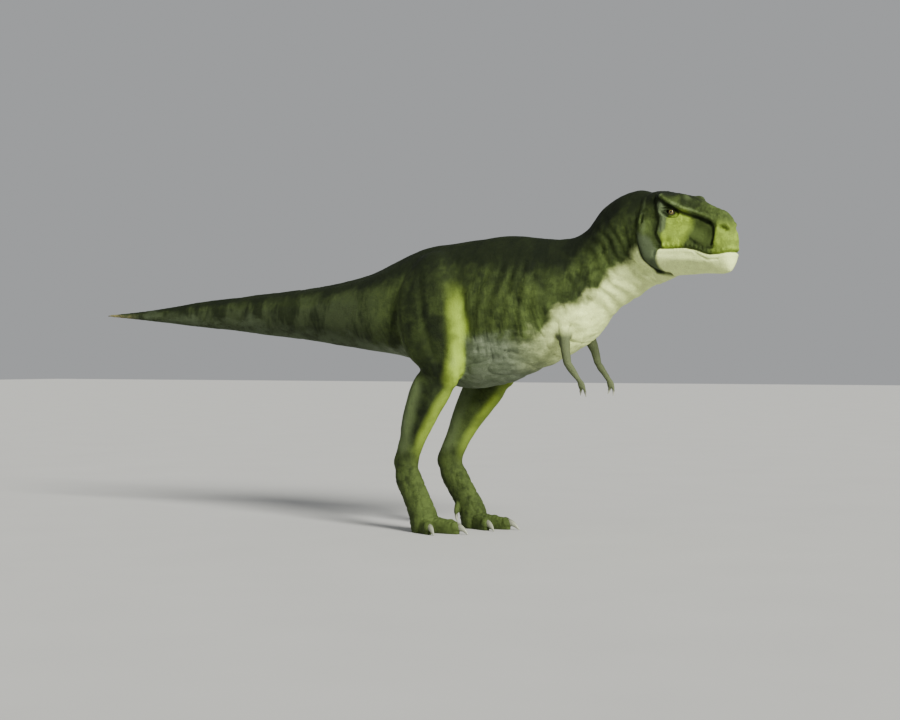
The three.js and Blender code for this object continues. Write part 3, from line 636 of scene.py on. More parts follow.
# Muscles, bones and folds of the body, along the hide's own normal.
BODY_FORMS = (
    shaped(Region.LEG, 0.130, 0.034,
           (0.42, 0.66, 3.60), (0.52, 0.72, 3.20), (0.58, 0.70, 2.80), (0.60, 0.62, 2.45)),
    shaped(Region.LEG, 0.070, -0.022,
           (0.02, 0.66, 3.70), (0.12, 0.76, 3.20), (0.24, 0.76, 2.75), (0.38, 0.68, 2.38)),
    shaped(Region.LEG, 0.130, 0.026, (-0.25, 0.62, 3.50), (-0.22, 0.72, 3.00), (-0.05, 0.68, 2.60)),
    shaped(Region.LEG, 0.090, 0.026, (0.62, 0.50, 2.24), (0.60, 0.50, 2.12)),
    shaped(Region.LEG, 0.060, -0.016, (0.46, 0.64, 2.18), (0.34, 0.66, 2.02)),
    shaped(Region.LEG, 0.095, 0.026, (-0.05, 0.62, 2.05), (-0.17, 0.60, 1.78), (-0.27, 0.54, 1.50)),
    shaped(Region.LEG, 0.050, -0.016, (0.14, 0.66, 1.98), (0.00, 0.64, 1.70), (-0.14, 0.58, 1.42)),
    shaped(Region.LEG, 0.045, -0.018, (-0.24, 0.55, 1.36), (-0.36, 0.53, 1.14), (-0.41, 0.54, 1.02)),
    shaped(Region.LEG, 0.060, 0.018, (-0.30, 0.58, 1.00)),
    shaped(Region.LEG, 0.035, -0.012, (-0.24, 0.58, 0.82), (-0.14, 0.59, 0.60), (-0.06, 0.60, 0.42)),
    shaped(Region.LEG, 0.035, -0.012, (-0.20, 0.32, 0.82), (-0.12, 0.31, 0.60)),
    shaped(Region.TRUNK, 0.110, 0.022, (-0.55, 0.45, 3.98), (0.10, 0.48, 4.08), (0.62, 0.46, 4.05)),
    shaped(Region.TRUNK, 0.080, -0.034,
           (0.72, 0.68, 3.45), (0.80, 0.66, 3.00), (0.72, 0.56, 2.60), (0.60, 0.40, 2.25)),
    shaped(Region.TRUNK, 0.110, 0.030, (1.62, 0.62, 3.66), (1.98, 0.62, 3.30), (2.24, 0.52, 3.00)),
    shaped(Region.TRUNK, 0.060, -0.018, (1.50, 0.66, 3.45), (1.86, 0.66, 3.08), (2.02, 0.60, 2.90)),
    shaped(Region.TRUNK, 0.130, 0.026, (2.38, 0.44, 3.16), (2.48, 0.30, 2.92)),
    shaped(Region.TRUNK, 0.120, 0.018, (2.10, 0.30, 2.70), (2.44, 0.16, 2.84)),
    shaped(Region.TRUNK, 0.100, 0.026,
           (2.10, 0.50, 3.85), (2.62, 0.42, 4.10), (3.06, 0.34, 4.44), (3.34, 0.22, 4.66)),
    shaped(Region.TRUNK, 0.060, -0.024, (2.20, 0.55, 3.60), (2.72, 0.42, 3.92), (3.14, 0.34, 4.26)),
    shaped(Region.TRUNK, 0.080, 0.016, (2.36, 0.50, 3.38), (2.84, 0.40, 3.72), (3.22, 0.34, 4.05)),
    shaped(Region.TRUNK, 0.170, 0.030,
           (-0.60, 0.52, 2.98), (-1.30, 0.44, 3.02), (-2.40, 0.30, 3.08), (-3.30, 0.20, 3.14)),
    shaped(Region.TRUNK, 0.050, -0.014,
           (-0.80, 0.52, 3.42), (-2.00, 0.36, 3.36), (-4.20, 0.17, 3.27), (-5.60, 0.06, 3.24)),
    shaped(Region.TRUNK, 0.070, 0.014, (-0.70, 0.30, 3.86), (-1.80, 0.20, 3.60), (-3.60, 0.12, 3.42)),
)
# Lines drawn on the side of the leg, as x, 0 and z.
THIGH_EDGE = (
    (0.56, 0, 3.60), (0.65, 0, 3.42), (0.69, 0, 3.06), (0.69, 0, 2.74), (0.65, 0, 2.46), (0.56, 0, 2.20)
)
SHANK_EDGE = (
    (0.56, 0, 2.20), (0.35, 0, 1.88), (0.17, 0, 1.62), (0.02, 0, 1.36), (-0.08, 0, 1.12), (-0.10, 0, 0.9)
)
LEG_SHADE = (
    (0.10, 0, 3.35), (0.16, 0, 2.90), (0.30, 0, 2.50), (0.24, 0, 2.15), (0.06, 0, 1.75), (-0.12, 0, 1.35)
)
SHADE_HEIGHTS = (1.2, 2.1, 3.2)
SHADE_WIDTHS = (0.10, 0.26, 0.56)
CALF = ((-0.08, 0, 2.08), (-0.20, 0, 1.72), (-0.32, 0, 1.30))
ANKLE = (-0.31, LEG_SPREAD, 0.95)
SHOULDER = (2.20, 0.40, 2.98)
FLANK_FOLDS = 9  # soft folds over the ribs, behind the shoulder
NECK_FOLDS = 7
SCUTE_BANDS = 8  # plates across the front of the metatarsus
TOE_BANDS = 9  # plates along the top of a toe


class Clay:
    """A mesh's vertices as arrays, moved by forms and smoothing."""

    def __init__(self, mesh: bpy.types.Mesh) -> None:
        """Reads the vertices, normals and edges of a mesh."""
        self.mesh = mesh
        self.points = self._read("vertices", "co", 3).astype(float)
        self.edges = self._read("edges", "vertices", 2, np.int32)
        self.links = np.bincount(self.edges.ravel(), minlength=len(self.points)).clip(1)

    def _read(self, kind: str, name: str, width: int, form: type = np.float32) -> np.ndarray:
        """An attribute of the mesh's elements as an array."""
        items = getattr(self.mesh, kind)
        values = np.zeros(len(items) * width, form)
        items.foreach_get(name, values)
        return values.reshape(-1, width)

    def write(self) -> None:
        """Puts the moved vertices back into the mesh."""
        self.mesh.vertices.foreach_set("co", self.points.astype(np.float32).ravel())
        self.mesh.update()

    def normals(self) -> np.ndarray:
        """The normals of the vertices where they are now."""
        self.write()
        return self._read("vertices", "normal", 3).astype(float)

    def neighbour_mean(self, values: np.ndarray) -> np.ndarray:
        """The mean of each vertex's neighbours."""
        first, second = self.edges[:, 0], self.edges[:, 1]
        size = len(self.points)
        columns = []
        for column in values.T:
            total = np.bincount(first, column[second], size) + np.bincount(second, column[first], size)
            columns.append(total / self.links)
        return np.column_stack(columns)

    def smooth(self, rounds: int, strength: np.ndarray | float = 0.5) -> None:
        """Moves each vertex towards the mean of its neighbours, where the strength isn't 0."""
        share = np.broadcast_to(strength, len(self.points))
        used = self.edges[(share != 0)[self.edges].any(axis=1)]
        kept, local = np.unique(used, return_inverse=True)
        first, second = local.reshape(-1, 2).T
        points = self.points[kept]
        pull = share[kept]
        for _ in range(rounds):
            for column in points.T:
                total = np.bincount(first, column[second], len(kept))
                total += np.bincount(second, column[first], len(kept))
                column += pull * (total / self.links[kept] - column)
        self.points[kept] = points

    def hollows(self, rounds: int = 3) -> np.ndarray:
        """How deep each vertex lies below its surroundings, in metres; positive in folds."""
        mean = self.points
        for _ in range(rounds):
            mean = self.neighbour_mean(mean)
        return ((mean - self.points) * self.normals()).sum(axis=1)


def in_region(points: np.ndarray, region: Region) -> np.ndarray:
    """Points as the left side of a region sees them.

    Args:
        points: points in the animal's own frame.
        region: the frame wanted.

    Returns:
        The points with y as a distance from the region's middle plane.
    """
    seen = carried(points, HEAD_TO_BODY.inverted()) if region is Region.HEAD else points.copy()
    if region is Region.LEG:
        seen[:, 0] -= np.where(points[:, 1] > 0, lead_at(points[:, 2]), 0.0)
    seen[:, 1] = np.abs(seen[:, 1])
    return seen


def press_forms(clay: Clay, forms: Sequence[Form]) -> None:
    """Moves the clay by a list of forms, all felt from where it is at the start."""
    normals = clay.normals()
    seen = {region: in_region(clay.points, region) for region in {form.region for form in forms}}
    head_axes = np.array(HEAD_TO_BODY)[:3, :3]
    head_side = np.sign(carried(clay.points, HEAD_TO_BODY.inverted())[:, 1])
    move = np.zeros_like(clay.points)
    for form in forms:
        points = seen[form.region] * ((1, 0, 1) if form.seen_from_side else (1, 1, 1))
        share = np.exp(-((line_distance(points, form.line) / form.reach) ** 2))
        share[share < 0.01] = 0
        if form.seen_from_side:
            share *= smooth_step(seen[form.region][:, 1], 0.05, 0.09) * (seen[form.region][:, 1] < 0.6)
        fixed = np.tile(np.array(form.push, float), (len(share), 1))
        fixed[:, 1] *= head_side
        turned = fixed @ head_axes.T if form.region is Region.HEAD else fixed
        move += share[:, None] * (turned + form.rise * normals)
    clay.points += move


def mesh_of(name: str, bm: bmesh.types.BMesh) -> bpy.types.Mesh:
    """A mesh made from a bmesh, which is freed; its faces point outwards."""
    bmesh.ops.recalc_face_normals(bm, faces=bm.faces)
    mesh = bpy.data.meshes.new(name)
    bm.to_mesh(mesh)
    bm.free()
    return mesh


def cut_at_floor(bm: bmesh.types.BMesh) -> list[bmesh.types.BMEdge]:
    """Takes off what lies below the floor and returns the edges of the cut."""
    everything = [*bm.verts, *bm.edges, *bm.faces]
    plane = {"plane_co": (0, 0, 0), "plane_no": (0, 0, 1)}
    cut = bmesh.ops.bisect_plane(bm, geom=everything, clear_inner=True, **plane)
    return [item for item in cut["geom_cut"] if isinstance(item, bmesh.types.BMEdge)]


def object_of(name: str, mesh: bpy.types.Mesh) -> bpy.types.Object:
    """A new object in the scene that shows a mesh."""
    made = bpy.data.objects.new(name, mesh)
    bpy.context.scene.collection.objects.link(made)
    return made


def with_modifier(name: str, mesh: bpy.types.Mesh, kind: str, chosen: np.ndarray | None = None,
                  **settings: float | str | bool) -> bpy.types.Mesh:
    """A mesh after one modifier, which is applied.

    Args:
        name: the new mesh's name.
        mesh: the mesh it starts from, which is removed.
        kind: the modifier's type.
        chosen: true for the vertices that it may change, where not all.
        settings: the modifier's settings.

    Returns:
        The new mesh.
    """
    holder = object_of(name + "_work", mesh)
    modifier = holder.modifiers.new(kind.title(), kind)
    if chosen is not None:
        holder.vertex_groups.new(name="chosen").add(np.flatnonzero(chosen).tolist(), 1.0, "REPLACE")
        modifier.vertex_group = "chosen"
    for key, value in settings.items():
        setattr(modifier, key, value)
    graph = bpy.context.evaluated_depsgraph_get()
    made = bpy.data.meshes.new_from_object(holder.evaluated_get(graph))
    bpy.data.objects.remove(holder)
    bpy.data.meshes.remove(mesh)
    made.name = name
    return made


@dataclass(frozen=True)
class Depths:
    """How far the fine forms of the hide stand out or lie sunk, in metres.

    Args:
        upper_lid, lower_lid, lid_crease, eye_bag, eye_opening: round the eye.
        lip_groove, upper_lip, lower_lip: along the mouth.
        neck_fold, belly_crease, belly_cross, belly_lump, rib, spine: on the trunk.
        plate, plate_gap, heel_fold, toe_plate, toe_gap, cuticle: on the feet.
        lump, small_lump, crease: all over.
    """

    upper_lid: float = 0.034
    lower_lid: float = 0.026
    lid_crease: float = 0.012
    eye_bag: float = 0.008
    eye_opening: float = 0.070
    lip_groove: float = 0.022
    upper_lip: float = 0.012
    lower_lip: float = 0.008
    neck_fold: float = 0.006
    belly_crease: float = 0.011
    belly_cross: float = 0.007
    belly_lump: float = 0.012
    rib: float = 0.006
    spine: float = 0.012
    plate: float = 0.011
    plate_gap: float = 0.004
    heel_fold: float = 0.003
    toe_plate: float = 0.010
    toe_gap: float = 0.003
    cuticle: float = 0.022
    lump: float = 0.006
    small_lump: float = 0.003
    crease: float = 0.0013


@dataclass
class Hide:
    """The skin of the whole animal, in one piece.

    Args:
        mass_voxel: cell size at which trunk, thighs and shanks are first fused and softened.
        voxel: cell size of the whole skin.
        softening: rounds of smoothing of the fused masses.
        plain_triangles: how many triangles the skin may have away from head, feet and hands.
        most_triangles: how many triangles the finished skin may have.
        bosses: how many horny bosses are scattered over the head.
        depths: how far its fine forms stand out.
    """

    mass_voxel: float = 0.030
    voxel: float = 0.0135
    softening: int = 14
    plain_triangles: int = 96000
    most_triangles: int = 194000
    bosses: int = 150
    depths: Depths = Depths()

    def lofts(self) -> tuple[list[Sleeve], list[Sleeve]]:
        """The large masses, and the parts that join them with little softening."""
        masses = [Sleeve(TRUNK, 64, 150, TRUNK_TAPER), Sleeve(THROAT, 36, 30)]
        parts: list[Sleeve] = [HeadSleeve(HEAD, 72, 80), Sleeve(TRUNK[:5], 40, 70, TRUNK_TAPER)]
        for side in Side:
            masses.append(Sleeve(on_side(THIGH, side, True), 44, 44))
            masses.append(Sleeve(on_side(SHANK, side, True), 36, 40))
            for rows in (METATARSUS, HALLUX):
                parts.append(Sleeve(on_side(rows, side, True), 36, 40))
            parts += [Sleeve(toe_rows(toe, side), 28, 28) for toe in TOES]
            parts += [Sleeve(on_side(rows, side), 24, 20) for rows in (UPPER_ARM, FOREARM, HAND)]
            for _, shift, length in FINGERS:
                parts.append(Sleeve(finger_rows(shift, length, side, *FINGER_FLESH, False), 16, 10))
        return masses, parts

    def fused(self) -> bpy.types.Mesh:
        """All body parts as one closed, softened surface."""
        masses, parts = self.lofts()
        bm = bmesh.new()
        for sleeve in masses:
            sleeve.add_to(bm)
        mesh = mesh_of("masses", bm)
        mesh = with_modifier("masses", mesh, "REMESH", mode="VOXEL", voxel_size=self.mass_voxel)
        clay = Clay(mesh)
        clay.smooth(self.softening, 0.5 * self.softness(clay.points, 0.06))
        clay.write()
        bm = bmesh.new()
        for sleeve in parts:
            sleeve.add_to(bm)
        bm.from_mesh(mesh)
        bpy.data.meshes.remove(mesh)
        mesh = mesh_of("skin", bm)
        return with_modifier("skin", mesh, "REMESH", mode="VOXEL", voxel_size=self.voxel)

    def softness(self, points: np.ndarray, least: float) -> np.ndarray:
        """How freely smoothing may move the clay, least on the ankles, arms and the end of the tail."""
        low = np.interp(points[:, 2], (1.2, 2.4), (0.0, 1.0))
        tail = np.interp(points[:, 0], (-5.6, -2.6), (0.0, 1.0))
        arm = (points[:, 0] > 2.15) & (np.abs(points[:, 1]) > 0.30) & (points[:, 2] < 2.75)
        return np.maximum(np.minimum(low, tail) * ~arm, least)

    def melt_joints(self, clay: Clay) -> None:
        """Smooths ankles, shoulders and toes, and the end of the tail without thinning it."""
        for region, middle, reach, core, rounds in (
            (Region.LEG, ANKLE, 0.34, 0.20, 50),
            (Region.TRUNK, SHOULDER, 0.30, 0.18, 90),
        ):
            away = np.linalg.norm(in_region(clay.points, region) - middle, axis=1)
            clay.smooth(rounds, 0.5 * smooth_step(away, reach, core))
        self.round_toes(clay)
        tip = smooth_step(clay.points[:, 0], -4.6, -5.4)
        for _ in range(14):
            clay.smooth(1, 0.5 * tip)
            clay.smooth(1, -0.52 * tip)

    def round_toes(self, clay: Clay) -> None:
        """Rounds the ends of the toes and swells the flesh over the root of each claw."""
        ends = np.zeros(len(clay.points))
        roots = np.zeros(len(clay.points))
        for side in Side:
            for toe in TOES:
                end = np.array(toe_rows(toe, side)[-1][:3])
                root = np.array(toe_claw_rows(toe, side)[0][:3])
                ends = np.maximum(ends, self.within(clay.points - end))
                roots = np.maximum(roots, self.within(clay.points - root))
        clay.smooth(24, 0.5 * ends)
        clay.points += self.depths.cuticle * roots[:, None] * clay.normals() * (clay.points[:, 2:] > 0.05)

    @staticmethod
    def within(away: np.ndarray) -> np.ndarray:
        """1 near the end of a toe, from the way to it, and 0 beyond it."""
        return smooth_step(np.linalg.norm(away, axis=1), 0.11, 0.05)

    def refine_head(self, mesh: bpy.types.Mesh) -> None:
        """Halves the faces of the head, for its lids, lips and nostrils."""
        bm = bmesh.new()
        bm.from_mesh(mesh)
        points = np.array([v.co for v in bm.verts])
        seen = in_region(points, Region.HEAD)
        near = (seen[:, 0] > 0.0) & (seen[:, 2] > -0.42)
        bm.verts.ensure_lookup_table()
        chosen = [e for e in bm.edges if near[e.verts[0].index] and near[e.verts[1].index]]
        bmesh.ops.subdivide_edges(bm, edges=chosen, cuts=1, use_grid_fill=True)
        bmesh.ops.triangulate(bm, faces=[f for f in bm.faces if len(f.verts) > 4])
        bm.to_mesh(mesh)
        bm.free()

    def sculpt(self, clay: Clay) -> None:
        """Raises and sinks the forms of the head and body."""
        clay.smooth(6, 0.5 * self.softness(clay.points, 0.25))
        self.melt_joints(clay)
        press_forms(clay, HEAD_FORMS)
        clay.smooth(3, 0.5 * self.softness(clay.points, 0.2))
        press_forms(clay, BODY_FORMS)
        press_forms(clay, HEAD_DETAILS)
        self.shape_eyes(clay)
        self.shape_mouth(clay)
        self.shape_folds(clay)
        self.shape_feet(clay)
        self.shape_bosses(clay)
        self.roughen(clay)

    def shape_eyes(self, clay: Clay) -> None:
        """Sinks the opening of each eye and raises the lids round it."""
        seen = in_region(clay.points, Region.HEAD)
        normals = clay.normals()
        away = seen - np.array(EYE_PLACE)
        tilt = math.radians(-14)
        run = away[:, 0] * math.cos(tilt) + away[:, 2] * math.sin(tilt)
        height = -away[:, 0] * math.sin(tilt) + away[:, 2] * math.cos(tilt)
        ring = np.hypot(run / 1.25, height / np.where(height > 0, 0.62, 0.80))
        near = (np.abs(away[:, 1]) < 0.16) & (ring < 0.2)
        depths = self.depths
        lid = bell(ring, 0.054, 0.015) * np.where(height > 0, depths.upper_lid, depths.lower_lid)
        crease = -bell(ring, 0.084, 0.010) * depths.lid_crease
        bag = bell(ring, 0.106, 0.016) * depths.eye_bag
        opening = -smooth_step(ring, 0.046, 0.034) * depths.eye_opening
        clay.points += (near * (lid + crease + bag + opening))[:, None] * normals

    def shape_mouth(self, clay: Clay) -> None:
        """Sinks the line between the lips and swells the lips on both sides of it."""
        seen = in_region(clay.points, Region.HEAD)
        normals = clay.normals()
        height = seen[:, 2] - np.interp(seen[:, 0], MOUTH_LINE_X, MOUTH_LINE_Z)
        front = smooth_step(seen[:, 0], MOUTH_CORNER_X - 0.05, MOUTH_CORNER_X + 0.08) * (seen[:, 1] < 0.5)
        groove = -self.depths.lip_groove * bell(height, 0.0, 0.013)
        upper = self.depths.upper_lip * bell(height, 0.045, 0.028)
        lower = self.depths.lower_lip * bell(height, -0.040, 0.026)
        notches = 0.35 * np.sin(seen[:, 0] * 95) * upper
        clay.points += (front * (groove + upper + lower + notches))[:, None] * normals

    def shape_folds(self, clay: Clay) -> None:
        """Folds the skin of the neck, throat, flank and belly."""
        points = clay.points
        normals = clay.normals()
        share, across, rise, radial = Sleeve(TRUNK, taper=TRUNK_TAPER).locate(points)
        station = share * (len(TRUNK) - 1)
        off_leg = smooth_step(Sleeve(THIGH).locate(in_region(points, Region.LEG))[3], 1.10, 1.30)
        on_trunk = smooth_step(radial, 1.35, 1.10) * off_leg
        wander = value_noise(points, 0.45, 3) * 0.35 + value_noise(points, 0.16, 4) * 0.12
        depths = self.depths
        neck = window(station, 12.2, 13.0, 15.4, 16.2) * smooth_step(rise, 0.85, 0.2)
        folds = np.sin((station + wander) * math.tau * NECK_FOLDS / 3.2)
        move = on_trunk * neck * depths.neck_fold * (folds - 0.3)
        belly = smooth_step(rise, -0.15, -0.6) * window(station, 8.2, 9.2, 12.4, 13.2)
        creases = 1 - np.abs(np.sin((points[:, 0] * 9.5 + wander * 6) + np.abs(across) * 2.0))
        crossed = 1 - np.abs(np.sin(points[:, 0] * 5.0 - np.abs(across) * 7.0 + wander * 9))
        move -= on_trunk * belly * (depths.belly_crease * creases**3 + depths.belly_cross * crossed**4)
        slanted = points * np.array([1.0, 1.0, 2.6]) + points[:, [2, 0, 1]] * np.array([0.5, 0.0, 0.0])
        move += on_trunk * belly * depths.belly_lump * value_noise(slanted, 0.19, 5)
        flank = window(station, 9.4, 9.9, 11.3, 11.9) * smooth_step(np.abs(rise), 0.8, 0.3)
        ribs = np.sin((station - rise * 0.35 + wander * 0.3) * math.tau * FLANK_FOLDS / 3.0)
        move += on_trunk * flank * depths.rib * ribs
        off_ends = smooth_step(station, 15.0, 13.0) * smooth_step(points[:, 0], -5.4, -4.0)
        move += on_trunk * smooth_step(rise, 0.90, 0.99) * off_ends * depths.spine
        clay.points = points + move[:, None] * normals

    def shape_feet(self, clay: Clay) -> None:
        """Raises the plates on the front of the metatarsus and the toes, and folds the ankle."""
        normals = clay.normals()
        seen = in_region(clay.points, Region.LEG)
        share, across, rise, radial = Sleeve(METATARSUS).locate(seen)
        broken = value_noise(seen, 0.07, 31) * 0.35
        plate = window((share * SCUTE_BANDS + broken) % 1.0, 0.0, 0.16, 0.84, 1.0)
        on_foot = smooth_step(radial, 1.3, 1.12) * smooth_step(seen[:, 2], 0.98, 0.72)
        front = smooth_step(rise, 0.25, 0.7) * on_foot * (seen[:, 2] > 0.16)
        split = smooth_step(np.abs(np.sin(across * 4.2 + broken * 4)), 0.10, 0.40)
        move = front * (plate * split * self.depths.plate - self.depths.plate_gap)
        back = smooth_step(rise, -0.3, -0.7) * on_foot
        move += back * self.depths.heel_fold * np.sin(share * math.tau * 9 + broken * 8)
        for toe in TOES:
            rows = toe_rows(toe, Side.RIGHT)
            toe_share, _, top, near = Sleeve(rows).locate(seen * np.array([1, -1, 1]))
            plate = window((toe_share * TOE_BANDS) % 1.0, 0.0, 0.2, 0.8, 1.0)
            crest = smooth_step(top, 0.45, 0.85) * smooth_step(near, 1.35, 1.15)
            crest *= smooth_step(toe_share, 0.12, 0.25)
            move += crest * (plate * self.depths.toe_plate - self.depths.toe_gap)
        clay.points += move[:, None] * normals

    def shape_bosses(self, clay: Clay) -> None:
        """Scatters low horny bosses over the snout, brow and back of the skull."""
        rng = np.random.default_rng(11)
        seen = in_region(clay.points, Region.HEAD)
        normals = clay.normals()
        head = np.flatnonzero((seen[:, 0] > 0.05) & (seen[:, 2] > 0.1))
        move = np.zeros(len(seen))
        for _ in range(self.bosses):
            x = rng.uniform(0.1, 1.34)
            turn = rng.uniform(0.0, 0.2) * (0.5 if x > 0.7 else 1.0)
            radius = rng.uniform(0.012, 0.026)
            height = rng.uniform(0.003, 0.007)
            place = np.interp(x, [row[0] for row in HEAD], range(len(HEAD)))
            on_head = HeadSleeve(HEAD).ring(place / (len(HEAD) - 1), np.array([turn]))
            centre = in_region(on_head, Region.HEAD)[0]
            close = head[np.abs(seen[head] - centre).max(axis=1) < 3 * radius + 0.05]
            flat = np.linalg.norm((seen[close] - centre) * np.array([1, 1, 0.6]), axis=1)
            move[close] = np.maximum(move[close], height * np.exp(-((flat / radius) ** 4)))
        clay.points += move[:, None] * normals

    def roughen(self, clay: Clay) -> None:
        """Adds slight lumps and creases all over, finer on the head and feet."""
        points = clay.points
        normals = clay.normals()
        lumps = value_noise(points, 0.30, 7) * self.depths.lump
        lumps += value_noise(points, 0.11, 8) * self.depths.small_lump
        creased = 1 - np.abs(value_noise(points * np.array([1.7, 1, 1]), 0.075, 9))
        lumps -= self.depths.crease * creased**4
        keep = smooth_step(points[:, 0], -6.2, -4.5)
        clay.points = points + (keep * lumps)[:, None] * normals

    def cut_soles(self, mesh: bpy.types.Mesh) -> None:
        """Cuts the soles flat at the floor and closes them."""
        bm = bmesh.new()
        bm.from_mesh(mesh)
        bmesh.ops.holes_fill(bm, edges=cut_at_floor(bm), sides=0)
        bmesh.ops.triangulate(bm, faces=[f for f in bm.faces if len(f.verts) > 4])
        bm.to_mesh(mesh)
        bm.free()

    def thinned(self, mesh: bpy.types.Mesh) -> bpy.types.Mesh:
        """A lighter mesh, thinned first away from head, feet and hands and then all over."""
        points = Clay(mesh).points
        fine = in_region(points, Region.HEAD)[:, 0] > -0.02
        fine |= (points[:, 2] < 0.42) | ((points[:, 0] > 2.25) & (points[:, 2] < 2.5))
        share = min(1.0, (self.plain_triangles / 2 + fine.sum()) / len(points))
        mesh = with_modifier("hide", mesh, "DECIMATE", ~fine, ratio=share, use_collapse_triangulate=True)
        ratio = min(1.0, self.most_triangles / len(mesh.polygons))
        LOG.info("skin: %d corners, then %d triangles", len(points), len(mesh.polygons))
        return with_modifier("hide", mesh, "DECIMATE", ratio=ratio, use_collapse_triangulate=True)

    def build(self) -> bpy.types.Object:
        """Builds, marks and dresses the skin.

        Returns:
            The skin's object, which replaces every node of flesh.
        """
        mesh = self.fused()
        self.refine_head(mesh)
        clay = Clay(mesh)
        self.sculpt(clay)
        clay.write()
        self.cut_soles(mesh)
        mesh = self.thinned(mesh)
        Marks(Clay(mesh)).write()
        mesh.transform(Matrix.Translation(ORIGIN))
        mesh.polygons.foreach_set("use_smooth", [True] * len(mesh.polygons))
        skin = object_of("hide", mesh)
        mesh.materials.append(HideFinish().material())
        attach(skin, BODY)
        flesh = [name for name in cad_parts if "claw" not in name and "eye" not in name]
        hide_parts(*flesh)
        return skin


class Marks:
    """Where the hide changes colour, and where light and shade are painted on it: numbers on the skin's
    vertices that its finish reads.
    """

    BELLY_X = (-6.45, -3.5, -1.6, -0.2, 0.94, 1.59, 1.90, 2.25, 2.67, 2.90, 3.13, 3.38, 3.60)
    BELLY_Z = (3.25, 3.17, 2.92, 2.60, 2.88, 2.83, 2.92, 3.20, 3.42, 3.55, 3.83, 4.02, 4.02)

    def __init__(self, clay: Clay) -> None:
        """Takes the finished skin in the animal's own frame."""
        self.clay = clay
        self.points = clay.points
        self.head = in_region(clay.points, Region.HEAD)
        self.leg = in_region(clay.points, Region.LEG)
        shake = value_noise(clay.points, 0.06, 21) * 0.008 + value_noise(clay.points, 0.022, 22) * 0.005
        self.side = self.head * [1, 0, 1] + shake[:, None]

    def write(self) -> None:
        """Writes every mark."""
        marks = {
            "rise": Sleeve(TRUNK, taper=TRUNK_TAPER).locate(self.points)[2],
            "in_head": self.head_mask(),
            "limb": self.limb_mask(),
            "hand": self.arm_mask(),
            "belly": np.interp(self.points[:, 0], self.BELLY_X, self.BELLY_Z) - self.points[:, 2],
            "lip": self.lip_height(),
            "lime": self.highlight_and_lime_mask(),
            "pit": self.pit_mask(),
            "pale": self.lit_ridge_and_pale_lines(),
            "ashen": self.ashen_mask(),
            "inked": self.dark_lines_and_shade(),
            "lit_edge": self.lit_edge(),
            "calf": self.calf(),
            "shade": self.shade(),
            "hollow": self.clay.hollows(),
        }
        for name, values in marks.items():
            layer = self.clay.mesh.attributes.new(name, "FLOAT", "POINT")
            layer.data.foreach_set("value", np.asarray(values, np.float32))

    def head_mask(self) -> np.ndarray:
        """1 on the head and jaw, fading into the neck."""
        x, _, z = self.head.T
        knots = [(-0.2, 0.32), *JAW_ANGLE, (0.60, -0.42)]
        edge = np.interp(x, *zip(*knots))
        return smooth_step(x, 0.0, 0.10) * smooth_step(z - edge, -0.05, 0.0)

    def lip_height(self) -> np.ndarray:
        """Height above the line of the mouth, in metres; 1 away from the head."""
        x, _, z = self.head.T
        height = z - np.interp(x, MOUTH_LINE_X, MOUTH_LINE_Z)
        return height + smooth_step(x - 0.15 * z, 0.43, 0.30) + (x < 0.2)

    def limb_mask(self) -> np.ndarray:
        """1 on the legs, fading into the trunk."""
        mask = np.zeros(len(self.leg))
        for rows in (THIGH, SHANK, METATARSUS):
            radial = Sleeve(rows).locate(self.leg)[3]
            mask = np.maximum(mask, smooth_step(radial, 1.30, 1.05))
        mask *= smooth_step(self.points[:, 2], 3.75, 3.15)
        return np.maximum(mask, smooth_step(self.points[:, 2], 1.2, 1.0))

    def arm_mask(self) -> np.ndarray:
        """1 on the arms and hands."""
        seen = in_region(self.points, Region.TRUNK)
        mask = np.zeros(len(seen))
        for rows in (UPPER_ARM, FOREARM, HAND):
            radial = Sleeve(rows).locate(seen, 60)[3]
            mask = np.maximum(mask, smooth_step(radial, 1.6, 1.1))
        below = smooth_step(seen[:, 2], 2.2, 2.15) * (seen[:, 0] > 2.3)
        return np.maximum(mask * smooth_step(seen[:, 2], 3.0, 2.8), below)

    def along(self, line: Sequence[tuple[float, float]], inner: float, outer: float) -> np.ndarray:
        """1 within a distance of a line drawn on the side of the head, fading to 0 at a larger one."""
        knots = tuple((x, 0.0, z) for x, z in line)
        return smooth_step(line_distance(self.side, knots), outer, inner) * self.head_mask()

    def highlight_and_lime_mask(self) -> np.ndarray:
        """1 on the cheek, less on the snout: yellow-green skin with a painted highlight."""
        x, _, z = self.side.T
        cheek = self.along(CHEEK, 0.09, 0.23)
        snout = smooth_step(x, 1.15, 1.25) * smooth_step(z, 0.46, 0.20)
        return np.maximum(cheek, 0.62 * snout) * smooth_step(x, 0.44, 0.50)

    def pit_mask(self) -> np.ndarray:
        """1 in the hollow in front of the eye."""
        return self.along(PIT, 0.09, 0.16) * smooth_step(self.side[:, 0], 1.21, 1.17)

    def lit_ridge_and_pale_lines(self) -> np.ndarray:
        """1 along the ridge over the eye, where a painted highlight goes, and along the pale band behind the
        cheek; less on the horn.
        """
        lines = np.maximum(self.along(BROW_RIDGE, 0.014, 0.040), 0.7 * self.along(PALE_BAND, 0.03, 0.08))
        horn = smooth_step(np.linalg.norm(self.head - HORN_PLACE, axis=1), 0.12, 0.05)
        return np.maximum(lines, 0.35 * horn)

    def ashen_mask(self) -> np.ndarray:
        """1 on the grey patch at the angle of the jaw and on the strip behind the eye."""
        x, _, z = self.side.T
        patch = self.along(JAW_PATCH, 0.12, 0.19)
        patch *= smooth_step(x - 0.15 * z, 0.445, 0.405) * smooth_step(z + 0.3 * x, 0.26, 0.18)
        return np.maximum(patch, 0.8 * self.along(CHEEK_STRIP, 0.03, 0.06))

